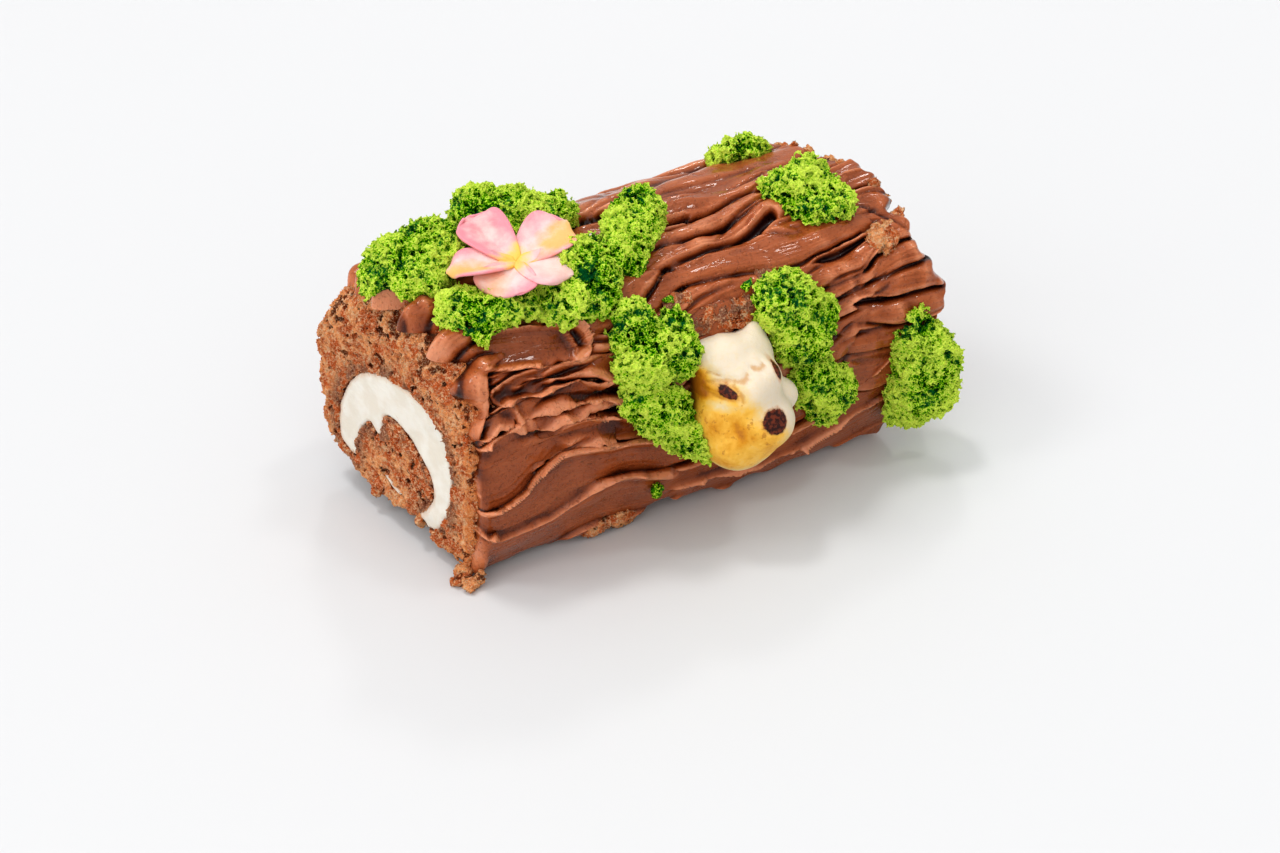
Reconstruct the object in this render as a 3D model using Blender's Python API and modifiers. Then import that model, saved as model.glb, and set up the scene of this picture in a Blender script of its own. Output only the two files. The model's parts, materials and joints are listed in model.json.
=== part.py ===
"""Yule log cake: a rolled chocolate sponge with a cream spiral, covered in
palette-knifed chocolate frosting and dressed with lumps of green moss sponge,
a meringue bear's head and a sugar flower.

Metres, +Z up.  +X runs along the log from the shown cut to the far end, +Y
away from the bear's side.  The origin lies on the flat underside, under the
middle of the log.
"""
import math

import bmesh
import bpy
from mathutils import Matrix, Vector, noise

MM = 0.001

# ---- driving dimensions -----------------------------------------------------
HALF_WIDTH = 42 * MM        # frosted log, centre line to side
HEIGHT = 82 * MM            # frosted log, board to crown
SPRING_LINE = 41 * MM       # where the straight sides turn into the arch
ARCH_ROUNDNESS = 2.4        # 2 is an ellipse, more is squarer shoulders
FOOT_TUCK = 6 * MM          # how far the sides draw in where they meet the board
TUCK_HEIGHT = 28 * MM
FROSTING = 4 * MM           # thickness of the frosting coat
GAP = 0.3 * MM              # between any two pieces
WELD = 0.01 * MM            # points closer than this are one point

CUT_X = -74.5 * MM          # shown cut at the foot of the bear's side
CUT_LEAN = 0.04             # how far the cut leans back with height
CUT_SKEW = 0.22             # how far it runs off square across the log
CUT_EDGE = 13 * MM          # crumbled rounding along the cut's top edge
FAR_X = 69 * MM
FAR_LEAN = 0.15
FAR_SKEW = 0.28
FAR_EDGE = 3 * MM
FULL_LENGTH = 240 * MM      # longer than the log, for what runs right through it
CROWN_EASE = 0.7            # how soon the sides start to count as crown
SIDE_EDGE = 0.12            # share of the edge rounding left on the straight sides
BACK_EDGE = 0.5             # and on the side away from the bear

FROSTING_SETBACK = 4 * MM   # bare sponge between the cut and the coat on top
FAR_SETBACK = 14 * MM       # and on the side away from the bear
RIM_PLAY = 0.5 * MM         # the coat's rims clear the cuts by this
LOBE_DEPTH = 3 * MM         # the coat's front edge runs in and out in lobes
LOBE_SPACING = 15 * MM
LOBE_VALLEY = -17.5 * MM    # across the log, where one valley lies
LIP_REACH = 8 * MM          # the coat curls this far past the far cut
LIP_HEIGHT = 48 * MM
LIP_SPREAD = 14 * MM
RIM_FADE = 5 * MM           # over this length the coat thins towards its rims
RIM_DROP = 1.6 * MM

BREAK_DEPTH = 14 * MM       # the bottom turn is broken away behind the cut
BREAK_START = 30 * MM       # the cutting wedge starts this far before the cut
# Section of what has broken away: across, up.
BREAK_OUTLINE = [(60, 24), (27, 11), (12, 6), (-6, 7), (-14, 9), (-19, 2), (-20, -5), (60, -5)]

BARK_RELIEF = 1.6 * MM      # depth of the palette-knife furrows
BROAD_FURROW = 22.6 * MM    # girth from one broad furrow to the next
NARROW_FURROW = 15.1 * MM
BROAD_SHARE = 0.6
LONG_WANDER = 145 * MM      # furrows swing sideways over these lengths
SHORT_WANDER = 69 * MM
NARROW_DRIFT = 195 * MM
SIDE_STEPS = 5
ARCH_STEPS = 28
COAT_RINGS = 22
RIM_SHARE = 0.013           # the coat's rims thin out over this share of its length
ROLL_RINGS = 6
EDGE_RINGS = 3
OUTLINE_STEPS = 3           # steps between two points of the cream outline

LUMP_DETAIL = 3             # facets round a moss lump
HEAD_DETAIL = 4             # and round the bear's head
LUMP_RAGGED = 1.6 * MM      # how far a lump's skin wanders from its balls
HEAD_RAGGED = 0.3 * MM
RAGGED_SIZE = 6 * MM
MELT = 10                   # lower melts neighbouring balls together more
RAGGED_SEED = 24

# Cream spiral as drawn on the cut: across, up.
CREAM_OUTLINE = [
    (-19, 9), (-26, 19), (-28.5, 32), (-26, 45), (-18, 52), (-4, 53.5), (10, 50), (21, 41),
    (27, 29), (28, 17), (21, 16), (19, 25), (13, 31), (8, 25), (4, 38), (-5, 38), (-15, 32),
    (-19.5, 24), (-16, 15), (-11, 9),
]
CREAM_SLIVER = [(7, 16), (1, 12), (-3, 12.5), (2, 15)]

# Moss lumps: place along the log, angle up from the bear's side, turn about the
# surface normal, then the balls each is built from (along, across, radius, lift),
# the one in the middle first.
MOSS = [
    (-66, 99, -20, [(0, -1, 8, 3), (-7, -2, 9, 3), (4, 2, 10, 5), (0, -8, 8, 1), (-13, -4, 6, 0)]),
    (-34, 109, -25, [(0, 1, 8, 5), (-8, 0, 9, 6), (11, 1, 8, 3), (-3, -6, 8, 0)]),
    (-56, 63, -15, [(2, 0, 7, 1), (-8, -1, 7, 1), (10, 2, 6, 1), (-4, -4, 6, 0)]),
    (-29, 62, 20, [(1, -1, 8, 3), (-8, -3, 8, 2), (3, 1, 9, 3), (1, -6, 7, 1), (9, 5, 6, 2)]),
    (-8, 75, 60, [(0, 0, 8, 4), (-10, 2, 8, 2), (10, -2, 8, 4)]),
    (49, 72, -20, [(0, 1, 8, 2), (-9, 0, 5, 1), (9, -5, 7, 1), (1, -6, 7, 1), (2, 8, 6, 3)]),
    (46, 117, -10, [(1, 1, 5, 2), (-5, 0, 5, 1), (3, 1, 6, 3), (8, 0, 4, 1)]),
    (-16, 31, -15, [(0, 1, 6, 2), (-6, 6, 7.5, 1), (-3, -4, 8, 2), (8, -2, 7, 2), (7, 7, 5, 1)]),
    (-13, 3, -40, [(1, 0, 6, 3), (-11, 0, 7, 1), (-2, 0, 8, 2), (8, -1, 7, 4), (14, -3, 5.5, 7)]),
    (30, 24, -55, [(1, 1, 8, 2), (-7, 2, 9, 2), (4, -1, 9, 2), (6, 7, 6, 1), (9, -2, 6, 1)]),
    (38, -9, -50, [(1, 0, 7, 1), (-5, 0, 8, 1), (4, 2, 8, 2), (7, -4, 6, 1)]),
    (74.5, -15, -75, [(0, 1, 12, 2), (-18, 2, 5, 1), (-11, 0, 8, 1), (7, -2, 11, 2), (14, -8, 7, 0)]),
]
MOSS_FLATTENING = 0.8

# Bear's head: balls as (forward, to its left, up, radius) in its own axes.
HEAD_PLACE = (9, -46, 47.5)
HEAD_BALLS = [
    (1, 0, -6, 12), (1, 0, -13, 14.5), (-1, 0, 1, 12.5), (11, 0, -8, 9.5), (6, 0, -16, 9.5), (7, 0, 2, 8),
    (3, 12, -8, 5.5), (3, -12, -8, 5.5), (-5, 9.5, 9.5, 4), (-5, -9.5, 9.5, 4),
]
HEAD_TURN = 6               # the face looks this far towards the far end

# Sugar flower: petals as (direction in degrees, length).
FLOWER_PLACE = (-44.5, -7, 88.5)
PETALS = [(15, 18.5), (97, 18), (186, 20.5), (242, 17.5), (292, 17)]
PETAL_THICKNESS = 1.2 * MM
PETAL_CUP = 3.5 * MM
PETAL_HALF_ANGLE = 40
PETAL_SQUARENESS = 2.6      # more makes a blunter petal tip
CUP_EASE = 0.6
CUP_WAVE = 0.4              # share of the cup that follows the five petals
THROAT_SHARE = 0.30         # between petals the sheet still reaches this far
PETAL_SPOKES = 40
PETAL_RINGS = 4
FLOWER_LEAN = 6

COLOURS = {
    "sponge": (0.25, 0.10, 0.055), "cream": (0.86, 0.80, 0.68), "frosting": (0.18, 0.062, 0.033),
    "moss": (0.24, 0.46, 0.02), "meringue": (0.83, 0.66, 0.40), "petal": (0.90, 0.60, 0.62),
}
ROUGHNESS = {"sponge": 0.9, "cream": 0.5, "frosting": 0.35, "moss": 0.95, "meringue": 0.55, "petal": 0.6}


# ---- scene helpers ----------------------------------------------------------
def clear_scene():
    for old in list(bpy.data.objects):
        bpy.data.objects.remove(old, do_unlink=True)


def new_collection(name):
    made = bpy.data.collections.new(name)
    bpy.context.scene.collection.children.link(made)
    return made


def material(name):
    made = bpy.data.materials.get(name)
    if made is None:
        made = bpy.data.materials.new(name)
        made.use_nodes = True
        shader = made.node_tree.nodes["Principled BSDF"]
        shader.inputs["Base Color"].default_value = (*COLOURS[name], 1.0)
        shader.inputs["Roughness"].default_value = ROUGHNESS[name]
        shader.inputs["Metallic"].default_value = 0.0
    return made


def mesh_object(name, bm, look, collection):
    mesh = bpy.data.meshes.new(name)
    bm.to_mesh(mesh)
    bm.free()
    made = bpy.data.objects.new(name, mesh)
    mesh.materials.append(material(look))
    collection.objects.link(made)
    return made


def baked(source):
    """Replace an object's mesh by its evaluated one and drop its modifiers."""
    bpy.context.view_layer.update()
    graph = bpy.context.evaluated_depsgraph_get()
    mesh = bpy.data.meshes.new_from_object(source.evaluated_get(graph))
    source.modifiers.clear()
    source.data = mesh
    return source


def carve(target, cutter, operation="DIFFERENCE"):
    modifier = target.modifiers.new("carve", "BOOLEAN")
    modifier.operation = operation
    modifier.object = cutter
    modifier.solver = "EXACT"
    return baked(target)


def as_cutter(made):
    made.hide_render = True
    made.display_type = "WIRE"
    return made


def grown_copy(source, amount, collection):
    """A copy of a solid, swollen along its normals, used to cut its neighbours."""
    made = bpy.data.objects.new(source.name + "_grown", source.data.copy())
    made.matrix_world = source.matrix_world.copy()
    for vertex, normal in zip(made.data.vertices, [n.vector.copy() for n in source.data.vertex_normals]):
        vertex.co += normal * amount
    collection.objects.link(made)
    return as_cutter(made)


def keep_largest(target):
    """Trim away crumbs that a cut leaves beside the main body."""
    bm = bmesh.new()
    bm.from_mesh(target.data)
    seen, groups = set(), []
    for face in bm.faces:
        if face in seen:
            continue
        seen.add(face)
        stack, group = [face], []
        while stack:
            here = stack.pop()
            group.append(here)
            for edge in here.edges:
                for other in edge.link_faces:
                    if other not in seen:
                        seen.add(other)
                        stack.append(other)
        groups.append(group)
    groups.sort(key=lambda group: -sum(face.calc_area() for face in group))
    for group in groups[1:]:
        bmesh.ops.delete(bm, geom=group, context="FACES")
    bmesh.ops.dissolve_degenerate(bm, dist=WELD, edges=bm.edges)
    bmesh.ops.triangulate(bm, faces=bm.faces)
    bm.to_mesh(target.data)
    bm.free()
    return target


# ---- the log's section ------------------------------------------------------
def side_reach(up):
    """Half width of the frosted log at a height on its straight sides."""
    return HALF_WIDTH - FOOT_TUCK * max(0.0, 1 - up / TUCK_HEIGHT) ** 2


def station_list():
    """Stations round the section, from the foot of the bear's side over the crown to
    the far foot: (across, up, outward normal across, outward normal up, girth)."""
    points = []
    for k in range(SIDE_STEPS):
        up = SPRING_LINE * k / SIDE_STEPS
        points.append((-side_reach(up), up, -1.0, 0.0))
    rise = HEIGHT - SPRING_LINE
    for k in range(ARCH_STEPS + 1):
        a = math.pi * k / ARCH_STEPS
        c, s = math.cos(a), math.sin(a)
        power = 2 / ARCH_ROUNDNESS
        across = -math.copysign(abs(c) ** power, c)
        up = max(s, 0.0) ** power
        normal = Vector((
            math.copysign(abs(across) ** (ARCH_ROUNDNESS - 1), across) / HALF_WIDTH,
            up ** (ARCH_ROUNDNESS - 1) / rise,
        )).normalized()
        points.append((HALF_WIDTH * across, SPRING_LINE + rise * up, normal.x, normal.y))
    for k in reversed(range(SIDE_STEPS)):
        up = SPRING_LINE * k / SIDE_STEPS
        points.append((side_reach(up), up, 1.0, 0.0))
    girth, stations = 0.0, []
    for k, point in enumerate(points):
        if k:
            girth += math.dist(point[:2], points[k - 1][:2])
        stations.append((*point, girth))
    return stations


STATIONS = station_list()


def surface_frame(along, angle):
    """Point on the frosted log and its axes, with the angle measured up from the
    middle of the bear's side round towards the far side."""
    a = math.radians(angle)
    direction = Vector((-math.cos(a), math.sin(a)))
    n = ARCH_ROUNDNESS
    rise = HEIGHT - SPRING_LINE
    if direction.y > 0:
        reach = ((abs(direction.x) / HALF_WIDTH) ** n + (direction.y / rise) ** n) ** (-1 / n)
        across, up = reach * direction.x, reach * direction.y
        flat = Vector((
            math.copysign(abs(across / HALF_WIDTH) ** (n - 1), across) / HALF_WIDTH,
            (up / rise) ** (n - 1) / rise,
        )).normalized()
    else:
        up = direction.y / abs(direction.x) * HALF_WIDTH
        across = math.copysign(side_reach(SPRING_LINE + up), direction.x)
        flat = Vector((math.copysign(1, direction.x), 0))
    normal = Vector((0, flat.x, flat.y))
    axis = Vector((1, 0, 0))
    place = Vector((along, across, SPRING_LINE + up))
    return place, axis, normal.cross(axis), normal


def cut_plane(across, up):
    return CUT_X + CUT_LEAN * up - CUT_SKEW * (across + HALF_WIDTH)


def far_plane(across, up):
    return FAR_X + FAR_LEAN * up - FAR_SKEW * (across + HALF_WIDTH)


def crownness(up, normal_up):
    """0 on the straight sides, 1 on the crown."""
    return max(0.0, normal_up) ** CROWN_EASE if up > SPRING_LINE else 0.0


def bark(along, girth):
    """Height of the knife furrows, which wander along the log and merge."""
    full = 2 * math.pi
    wander = math.sin(full * along / LONG_WANDER) + 0.6 * math.sin(full * along / SHORT_WANDER + 2)
    broad = math.sin(full * girth / BROAD_FURROW + wander)
    narrow = math.sin(full * (girth / NARROW_FURROW + along / NARROW_DRIFT) - wander)
    return BARK_RELIEF * (BROAD_SHARE * broad + (1 - BROAD_SHARE) * narrow)


def bridge_rings(bm, rings, closed):
    """Skin a list of vertex rings with quads."""
    for first, second in zip(rings, rings[1:]):
        count = len(first)
        for k in range(count if closed else count - 1):
            nxt = (k + 1) % count
            bm.faces.new((first[k], second[k], second[nxt], first[nxt]))


# ---- log core: sponge and cream -------------------------------------------
def log_core(name, inset, collection, reach=0.0):
    """The rolled log without its coat, with both cuts and their crumbled edges."""
    bm = bmesh.new()
    rings = []

    def ring(plane, sign, edge, share):
        turn = math.pi / 2 * share
        verts = []
        for across, up, out_across, out_up, _ in STATIONS:
            crown = crownness(up, out_up)
            far_side = max(0.0, out_across)
            radius = edge * max(SIDE_EDGE, crown, BACK_EDGE * far_side)
            shrink = inset + radius * (1 - math.sin(turn))
            y = across - shrink * out_across
            z = max(0.0, up - shrink * out_up)
            along = plane(y, z) + sign * (radius * (1 - math.cos(turn)) - reach)
            verts.append(bm.verts.new((along, y, z)))
        rings.append(verts)

    for k in range(EDGE_RINGS):
        ring(cut_plane, 1, CUT_EDGE, k / (EDGE_RINGS - 1))
    for k in range(1, ROLL_RINGS):
        share = k / ROLL_RINGS
        verts = []
        for across, up, out_across, out_up, _ in STATIONS:
            y, z = across - inset * out_across, max(0.0, up - inset * out_up)
            start, end = cut_plane(y, z) + CUT_EDGE, far_plane(y, z) - FAR_EDGE
            verts.append(bm.verts.new((start + (end - start) * share, y, z)))
        rings.append(verts)
    for k in range(EDGE_RINGS):
        ring(far_plane, -1, FAR_EDGE, 1 - k / (EDGE_RINGS - 1))
    bridge_rings(bm, rings, closed=True)
    bm.faces.new(rings[0])
    bm.faces.new(reversed(rings[-1]))
    bmesh.ops.recalc_face_normals(bm, faces=bm.faces)
    return mesh_object(name, bm, "sponge", collection)


def drawn_bar(name, outline, offset, look, collection):
    """A smooth outline drawn on the section and drawn out along the whole log."""
    curve = bpy.data.curves.new(name, "CURVE")
    curve.dimensions = "2D"
    curve.fill_mode = "BOTH"
    curve.extrude = FULL_LENGTH / 2
    curve.resolution_u = OUTLINE_STEPS
    curve.offset = offset
    spline = curve.splines.new("BEZIER")
    spline.bezier_points.add(len(outline) - 1)
    spline.use_cyclic_u = True
    for point, (across, up) in zip(spline.bezier_points, outline):
        point.co = (across * MM, up * MM, 0)
        point.handle_left_type = point.handle_right_type = "AUTO"
    drawn = bpy.data.objects.new(name + "_outline", curve)
    collection.objects.link(drawn)
    drawn.matrix_world = Matrix(((0, 0, 1, 0), (1, 0, 0, 0), (0, 1, 0, 0), (0, 0, 0, 1)))
    bpy.context.view_layer.update()
    graph = bpy.context.evaluated_depsgraph_get()
    mesh = bpy.data.meshes.new_from_object(drawn.evaluated_get(graph))
    mesh.transform(drawn.matrix_world)
    bpy.data.objects.remove(drawn, do_unlink=True)
    bm = bmesh.new()
    bm.from_mesh(mesh)
    bmesh.ops.remove_doubles(bm, verts=bm.verts, dist=WELD)
    bmesh.ops.recalc_face_normals(bm, faces=bm.faces)
    return mesh_object(name, bm, look, collection)


def broken_base(collection):
    """What has broken away under the shown cut: a low wedge below the core."""
    bm = bmesh.new()
    fronts, backs = [], []
    for across, up in BREAK_OUTLINE:
        y, z = across * MM, up * MM
        fronts.append(bm.verts.new((cut_plane(y, z) - BREAK_START, y, z)))
        backs.append(bm.verts.new((cut_plane(y, 0) + BREAK_DEPTH - max(0.0, z) / 3, y, z)))
    bridge_rings(bm, [fronts, backs], closed=True)
    bm.faces.new(fronts)
    bm.faces.new(reversed(backs))
    bmesh.ops.recalc_face_normals(bm, faces=bm.faces)
    return as_cutter(mesh_object("broken_base", bm, "sponge", collection))


def rolled_sponge(cake, cutters):
    sponge = log_core("sponge_roll", FROSTING + GAP, cake)
    carve(sponge, broken_base(cutters))
    for name, outline in (("cream_room", CREAM_OUTLINE), ("sliver_room", CREAM_SLIVER)):
        room = as_cutter(drawn_bar(name, outline, GAP / 2, "cream", cutters))
        carve(sponge, room)
    return keep_largest(sponge)


def rolled_cream(name, outline, cake, cutters):
    core = as_cutter(log_core(name + "_reach", FROSTING + GAP, cutters))
    carve(core, broken_base(cutters))
    cream = drawn_bar(name, outline, -GAP / 2, "cream", cake)
    carve(cream, core, "INTERSECT")
    return keep_largest(cream)


# ---- frosting ---------------------------------------------------------------
def coat_start(across, up, normal_across, normal_up):
    """Where the coat begins: flush on the bear's side, in lobes short of the cut on top."""
    lobes = LOBE_DEPTH * math.cos(2 * math.pi * (across - LOBE_VALLEY) / LOBE_SPACING)
    on_top = (FROSTING_SETBACK + lobes) * crownness(up, normal_up)
    far_side = FAR_SETBACK * max(0.0, normal_across)
    return cut_plane(across, up) + RIM_PLAY + on_top + far_side


def coat_end(across, up, normal_across):
    """Where the coat ends, with a lip curling out on the bear's side."""
    lip = LIP_REACH * math.exp(-((up - LIP_HEIGHT) / LIP_SPREAD) ** 2) if normal_across < 0 else 0.0
    return far_plane(across, up) + RIM_PLAY + lip


def coat_point(station, share, grow):
    """Point on the coat's outer face, with the bark relief fading at both rims."""
    across, up, out_across, out_up, girth = station
    start = coat_start(across, up, out_across, out_up)
    end = coat_end(across, up, out_across)
    along = start + (end - start) * share
    fade = min(1.0, max(0.0, min(along - start, end - along) / RIM_FADE))
    lift = bark(along, girth) * fade - RIM_DROP * (1 - fade) ** 2 + grow
    return Vector((along, across + lift * out_across, max(0.0, up + lift * out_up)))


def coat_shares():
    """Shares of the coat's length, closer together at the rims."""
    spans = COAT_RINGS - 3
    return [0.0, RIM_SHARE] + [k / spans for k in range(1, spans)] + [1 - RIM_SHARE, 1.0]


def frosting_coat(cake):
    bm = bmesh.new()
    outer_rings, inner_rings = [], []
    for share in coat_shares():
        outer, inner = [], []
        for station in STATIONS:
            across, up, out_across, out_up, _ = station
            outer.append(bm.verts.new(coat_point(station, share, 0.0)))
            start = coat_start(across, up, out_across, out_up)
            end = coat_end(across, up, out_across)
            inner.append(bm.verts.new((
                start + (end - start) * share,
                across - FROSTING * out_across,
                max(0.0, up - FROSTING * out_up),
            )))
        outer_rings.append(outer)
        inner_rings.append(inner)
    bridge_rings(bm, outer_rings, closed=False)
    bridge_rings(bm, inner_rings, closed=False)
    for rim in (0, -1):
        outer, inner = outer_rings[rim], inner_rings[rim]
        for k in range(len(STATIONS) - 1):
            bm.faces.new((outer[k], outer[k + 1], inner[k + 1], inner[k]))
    for side in (0, -1):
        for k in range(len(outer_rings) - 1):
            bm.faces.new((
                outer_rings[k][side], outer_rings[k + 1][side],
                inner_rings[k + 1][side], inner_rings[k][side],
            ))
    bmesh.ops.recalc_face_normals(bm, faces=bm.faces)
    bmesh.ops.triangulate(bm, faces=bm.faces)
    return mesh_object("chocolate_frosting", bm, "frosting", cake)


def coat_envelope(cutters):
    """The frosted log as one closed block, a gap larger all round."""
    bm = bmesh.new()
    shares = coat_shares()
    rings = [[coat_point(station, share, GAP) for station in STATIONS] for share in shares]
    for points, shift in ((rings[0], -GAP), (rings[-1], GAP)):
        for point in points:
            point.x += shift
    for place, points in ((0, rings[0]), (len(rings) + 1, rings[-1])):
        inner = []
        for point, (across, up, out_across, out_up, _) in zip(points, STATIONS):
            depth = FROSTING + 2 * GAP
            inner.append(Vector((point.x, across - depth * out_across, max(0.0, up - depth * out_up))))
        rings.insert(place, inner)
    rings = [[bm.verts.new(point) for point in points] for points in rings]
    bridge_rings(bm, rings, closed=True)
    bm.faces.new(rings[0])
    bm.faces.new(reversed(rings[-1]))
    bmesh.ops.recalc_face_normals(bm, faces=bm.faces)
    bmesh.ops.triangulate(bm, faces=bm.faces)
    return as_cutter(mesh_object("coat_envelope", bm, "frosting", cutters))


# ---- toppings ---------------------------------------------------------------
def ball_exit(ball, start, direction):
    """How far along a direction a ball's surface lies, 0 where the direction misses it."""
    home = ball.inverted()
    origin = home @ start
    heading = home.to_3x3() @ direction
    a, b, c = heading.length_squared, origin.dot(heading), origin.length_squared - 1
    inside_root = b * b - a * c
    return max(0.0, (math.sqrt(inside_root) - b) / a) if inside_root > 0 else 0.0


def ball_cluster(name, balls, detail, ragged, look, collection):
    """Balls melted into one lump: a sphere of directions round the first ball's centre,
    each pulled out to the furthest ball along it, with a ragged skin."""
    heart = balls[0].to_translation()
    bm = bmesh.new()
    bmesh.ops.create_icosphere(bm, subdivisions=detail, radius=1.0)
    for vertex in bm.verts:
        direction = vertex.co.normalized()
        exits = [ball_exit(ball, heart, direction) for ball in balls]
        longest = max(exits)
        melted = longest * sum((reach / longest) ** MELT for reach in exits) ** (1 / MELT)
        vertex.co = heart + direction * melted
    for vertex in bm.verts:
        vertex.co += noise.noise_vector(vertex.co / RAGGED_SIZE) * ragged
    bmesh.ops.recalc_face_normals(bm, faces=bm.faces)
    return mesh_object(name, bm, look, collection)


def moss_lump(index, along, angle, turn, balls, cake):
    place, axis, across, normal = surface_frame(along * MM, angle)
    a = math.radians(turn)
    forward = axis * math.cos(a) + across * math.sin(a)
    side = normal.cross(forward)
    axes = Matrix((forward, side, normal)).transposed().to_4x4()
    shapes = []
    for ball_along, ball_across, radius, lift in balls:
        centre = place + forward * (ball_along * MM) + side * (ball_across * MM) + normal * (lift * MM)
        size = Matrix.Diagonal((radius * MM, radius * MM, radius * MM * MOSS_FLATTENING, 1.0))
        shapes.append(Matrix.Translation(centre) @ axes @ size)
    return ball_cluster(f"moss_{index:02d}", shapes, LUMP_DETAIL, LUMP_RAGGED, "moss", cake)


def head_axes():
    """Forward, left and up of the bear's head."""
    return Matrix.Rotation(math.radians(HEAD_TURN - 90), 4, "Z")


def bear_head(cake):
    head = Matrix.Translation(Vector(HEAD_PLACE) * MM) @ head_axes()
    shapes = []
    for forward, left, up, radius in HEAD_BALLS:
        centre = Matrix.Translation(Vector((forward, left, up)) * MM)
        shapes.append(head @ centre @ Matrix.Diagonal((radius * MM, radius * MM, radius * MM, 1.0)))
    return ball_cluster("bear_head", shapes, HEAD_DETAIL, HEAD_RAGGED, "meringue", cake)


def petal_reach(direction):
    """Edge of the flower in one direction: the furthest petal there."""
    best = THROAT_SHARE * PETALS[0][1]
    for angle, length in PETALS:
        off = abs((direction - angle + 180) % 360 - 180) / PETAL_HALF_ANGLE
        if off < 1:
            best = max(best, length * (1 - off ** PETAL_SQUARENESS) ** 0.5)
    return best * MM


def sugar_flower(cake):
    """Five petals pressed from one sheet, cupped towards the throat."""
    bm = bmesh.new()
    centre = bm.verts.new((0, 0, 0))
    loops = []
    for ring in range(1, PETAL_RINGS + 1):
        share = ring / PETAL_RINGS
        verts = []
        for k in range(PETAL_SPOKES):
            direction = 360 * k / PETAL_SPOKES
            reach = petal_reach(direction) * share
            a = math.radians(direction)
            wave = math.cos(len(PETALS) * (a - math.radians(PETALS[0][0])))
            lift = PETAL_CUP * share ** CUP_EASE * (1 - CUP_WAVE + CUP_WAVE * wave)
            verts.append(bm.verts.new((reach * math.cos(a), reach * math.sin(a), lift)))
        loops.append(verts)
    for k in range(PETAL_SPOKES):
        bm.faces.new((centre, loops[0][k], loops[0][(k + 1) % PETAL_SPOKES]))
    bridge_rings(bm, loops, closed=True)
    bmesh.ops.recalc_face_normals(bm, faces=bm.faces)
    flower = mesh_object("sugar_flower", bm, "petal", cake)
    flower.data.transform(
        Matrix.Translation(Vector(FLOWER_PLACE) * MM)
        @ Matrix.Rotation(math.radians(FLOWER_LEAN), 4, "X")
    )
    sheet = flower.modifiers.new("sheet", "SOLIDIFY")
    sheet.thickness = PETAL_THICKNESS
    sheet.offset = 0.0
    return keep_largest(baked(flower))


def near_enough(first, second):
    """True where two pieces' boxes touch."""
    boxes = []
    for made in (first, second):
        corners = [vertex.co for vertex in made.data.vertices]
        boxes.append([(min(c[i] for c in corners), max(c[i] for c in corners)) for i in range(3)])
    return all(a[0] < b[1] + GAP and b[0] < a[1] + GAP for a, b in zip(*boxes))


def seat(pieces, supports, cutters):
    """Cut each topping clear of what it rests on and of the toppings before it."""
    done = []
    for piece in pieces:
        for support in supports:
            carve(piece, support)
        for other in done:
            if near_enough(piece, other):
                carve(piece, grown_copy(other, GAP, cutters))
        done.append(keep_largest(piece))


def build():
    clear_scene()
    noise.seed_set(RAGGED_SEED)
    cake = new_collection("yule_log_cake")
    cutters = new_collection("cutters")
    rolled_sponge(cake, cutters)
    rolled_cream("cream_filling", CREAM_OUTLINE, cake, cutters)
    rolled_cream("cream_core", CREAM_SLIVER, cake, cutters)
    frosting_coat(cake)
    toppings = [bear_head(cake), sugar_flower(cake)]
    for index, (along, angle, turn, balls) in enumerate(MOSS, start=1):
        toppings.append(moss_lump(index, along, angle, turn, balls, cake))
    supports = [coat_envelope(cutters), as_cutter(log_core("core_envelope", FROSTING, cutters, GAP))]
    seat(toppings, supports, cutters)


build()
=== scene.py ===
# %% [markdown]
# # A yule log cake
#
# A rolled chocolate sponge lies on its flat underside. Palette-knifed
# frosting covers it like bark, a cream spiral shows at the cut, and torn
# green sponge, a meringue bear's head and a sugar flower dress the top.
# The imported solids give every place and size. Each cell below swaps one of
# them for a piece with its real surface.

# %% Load the frame and keep its box
import json
import math

import bmesh
import bpy
import numpy as np
import openvdb
from mathutils import Matrix, Vector

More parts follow.
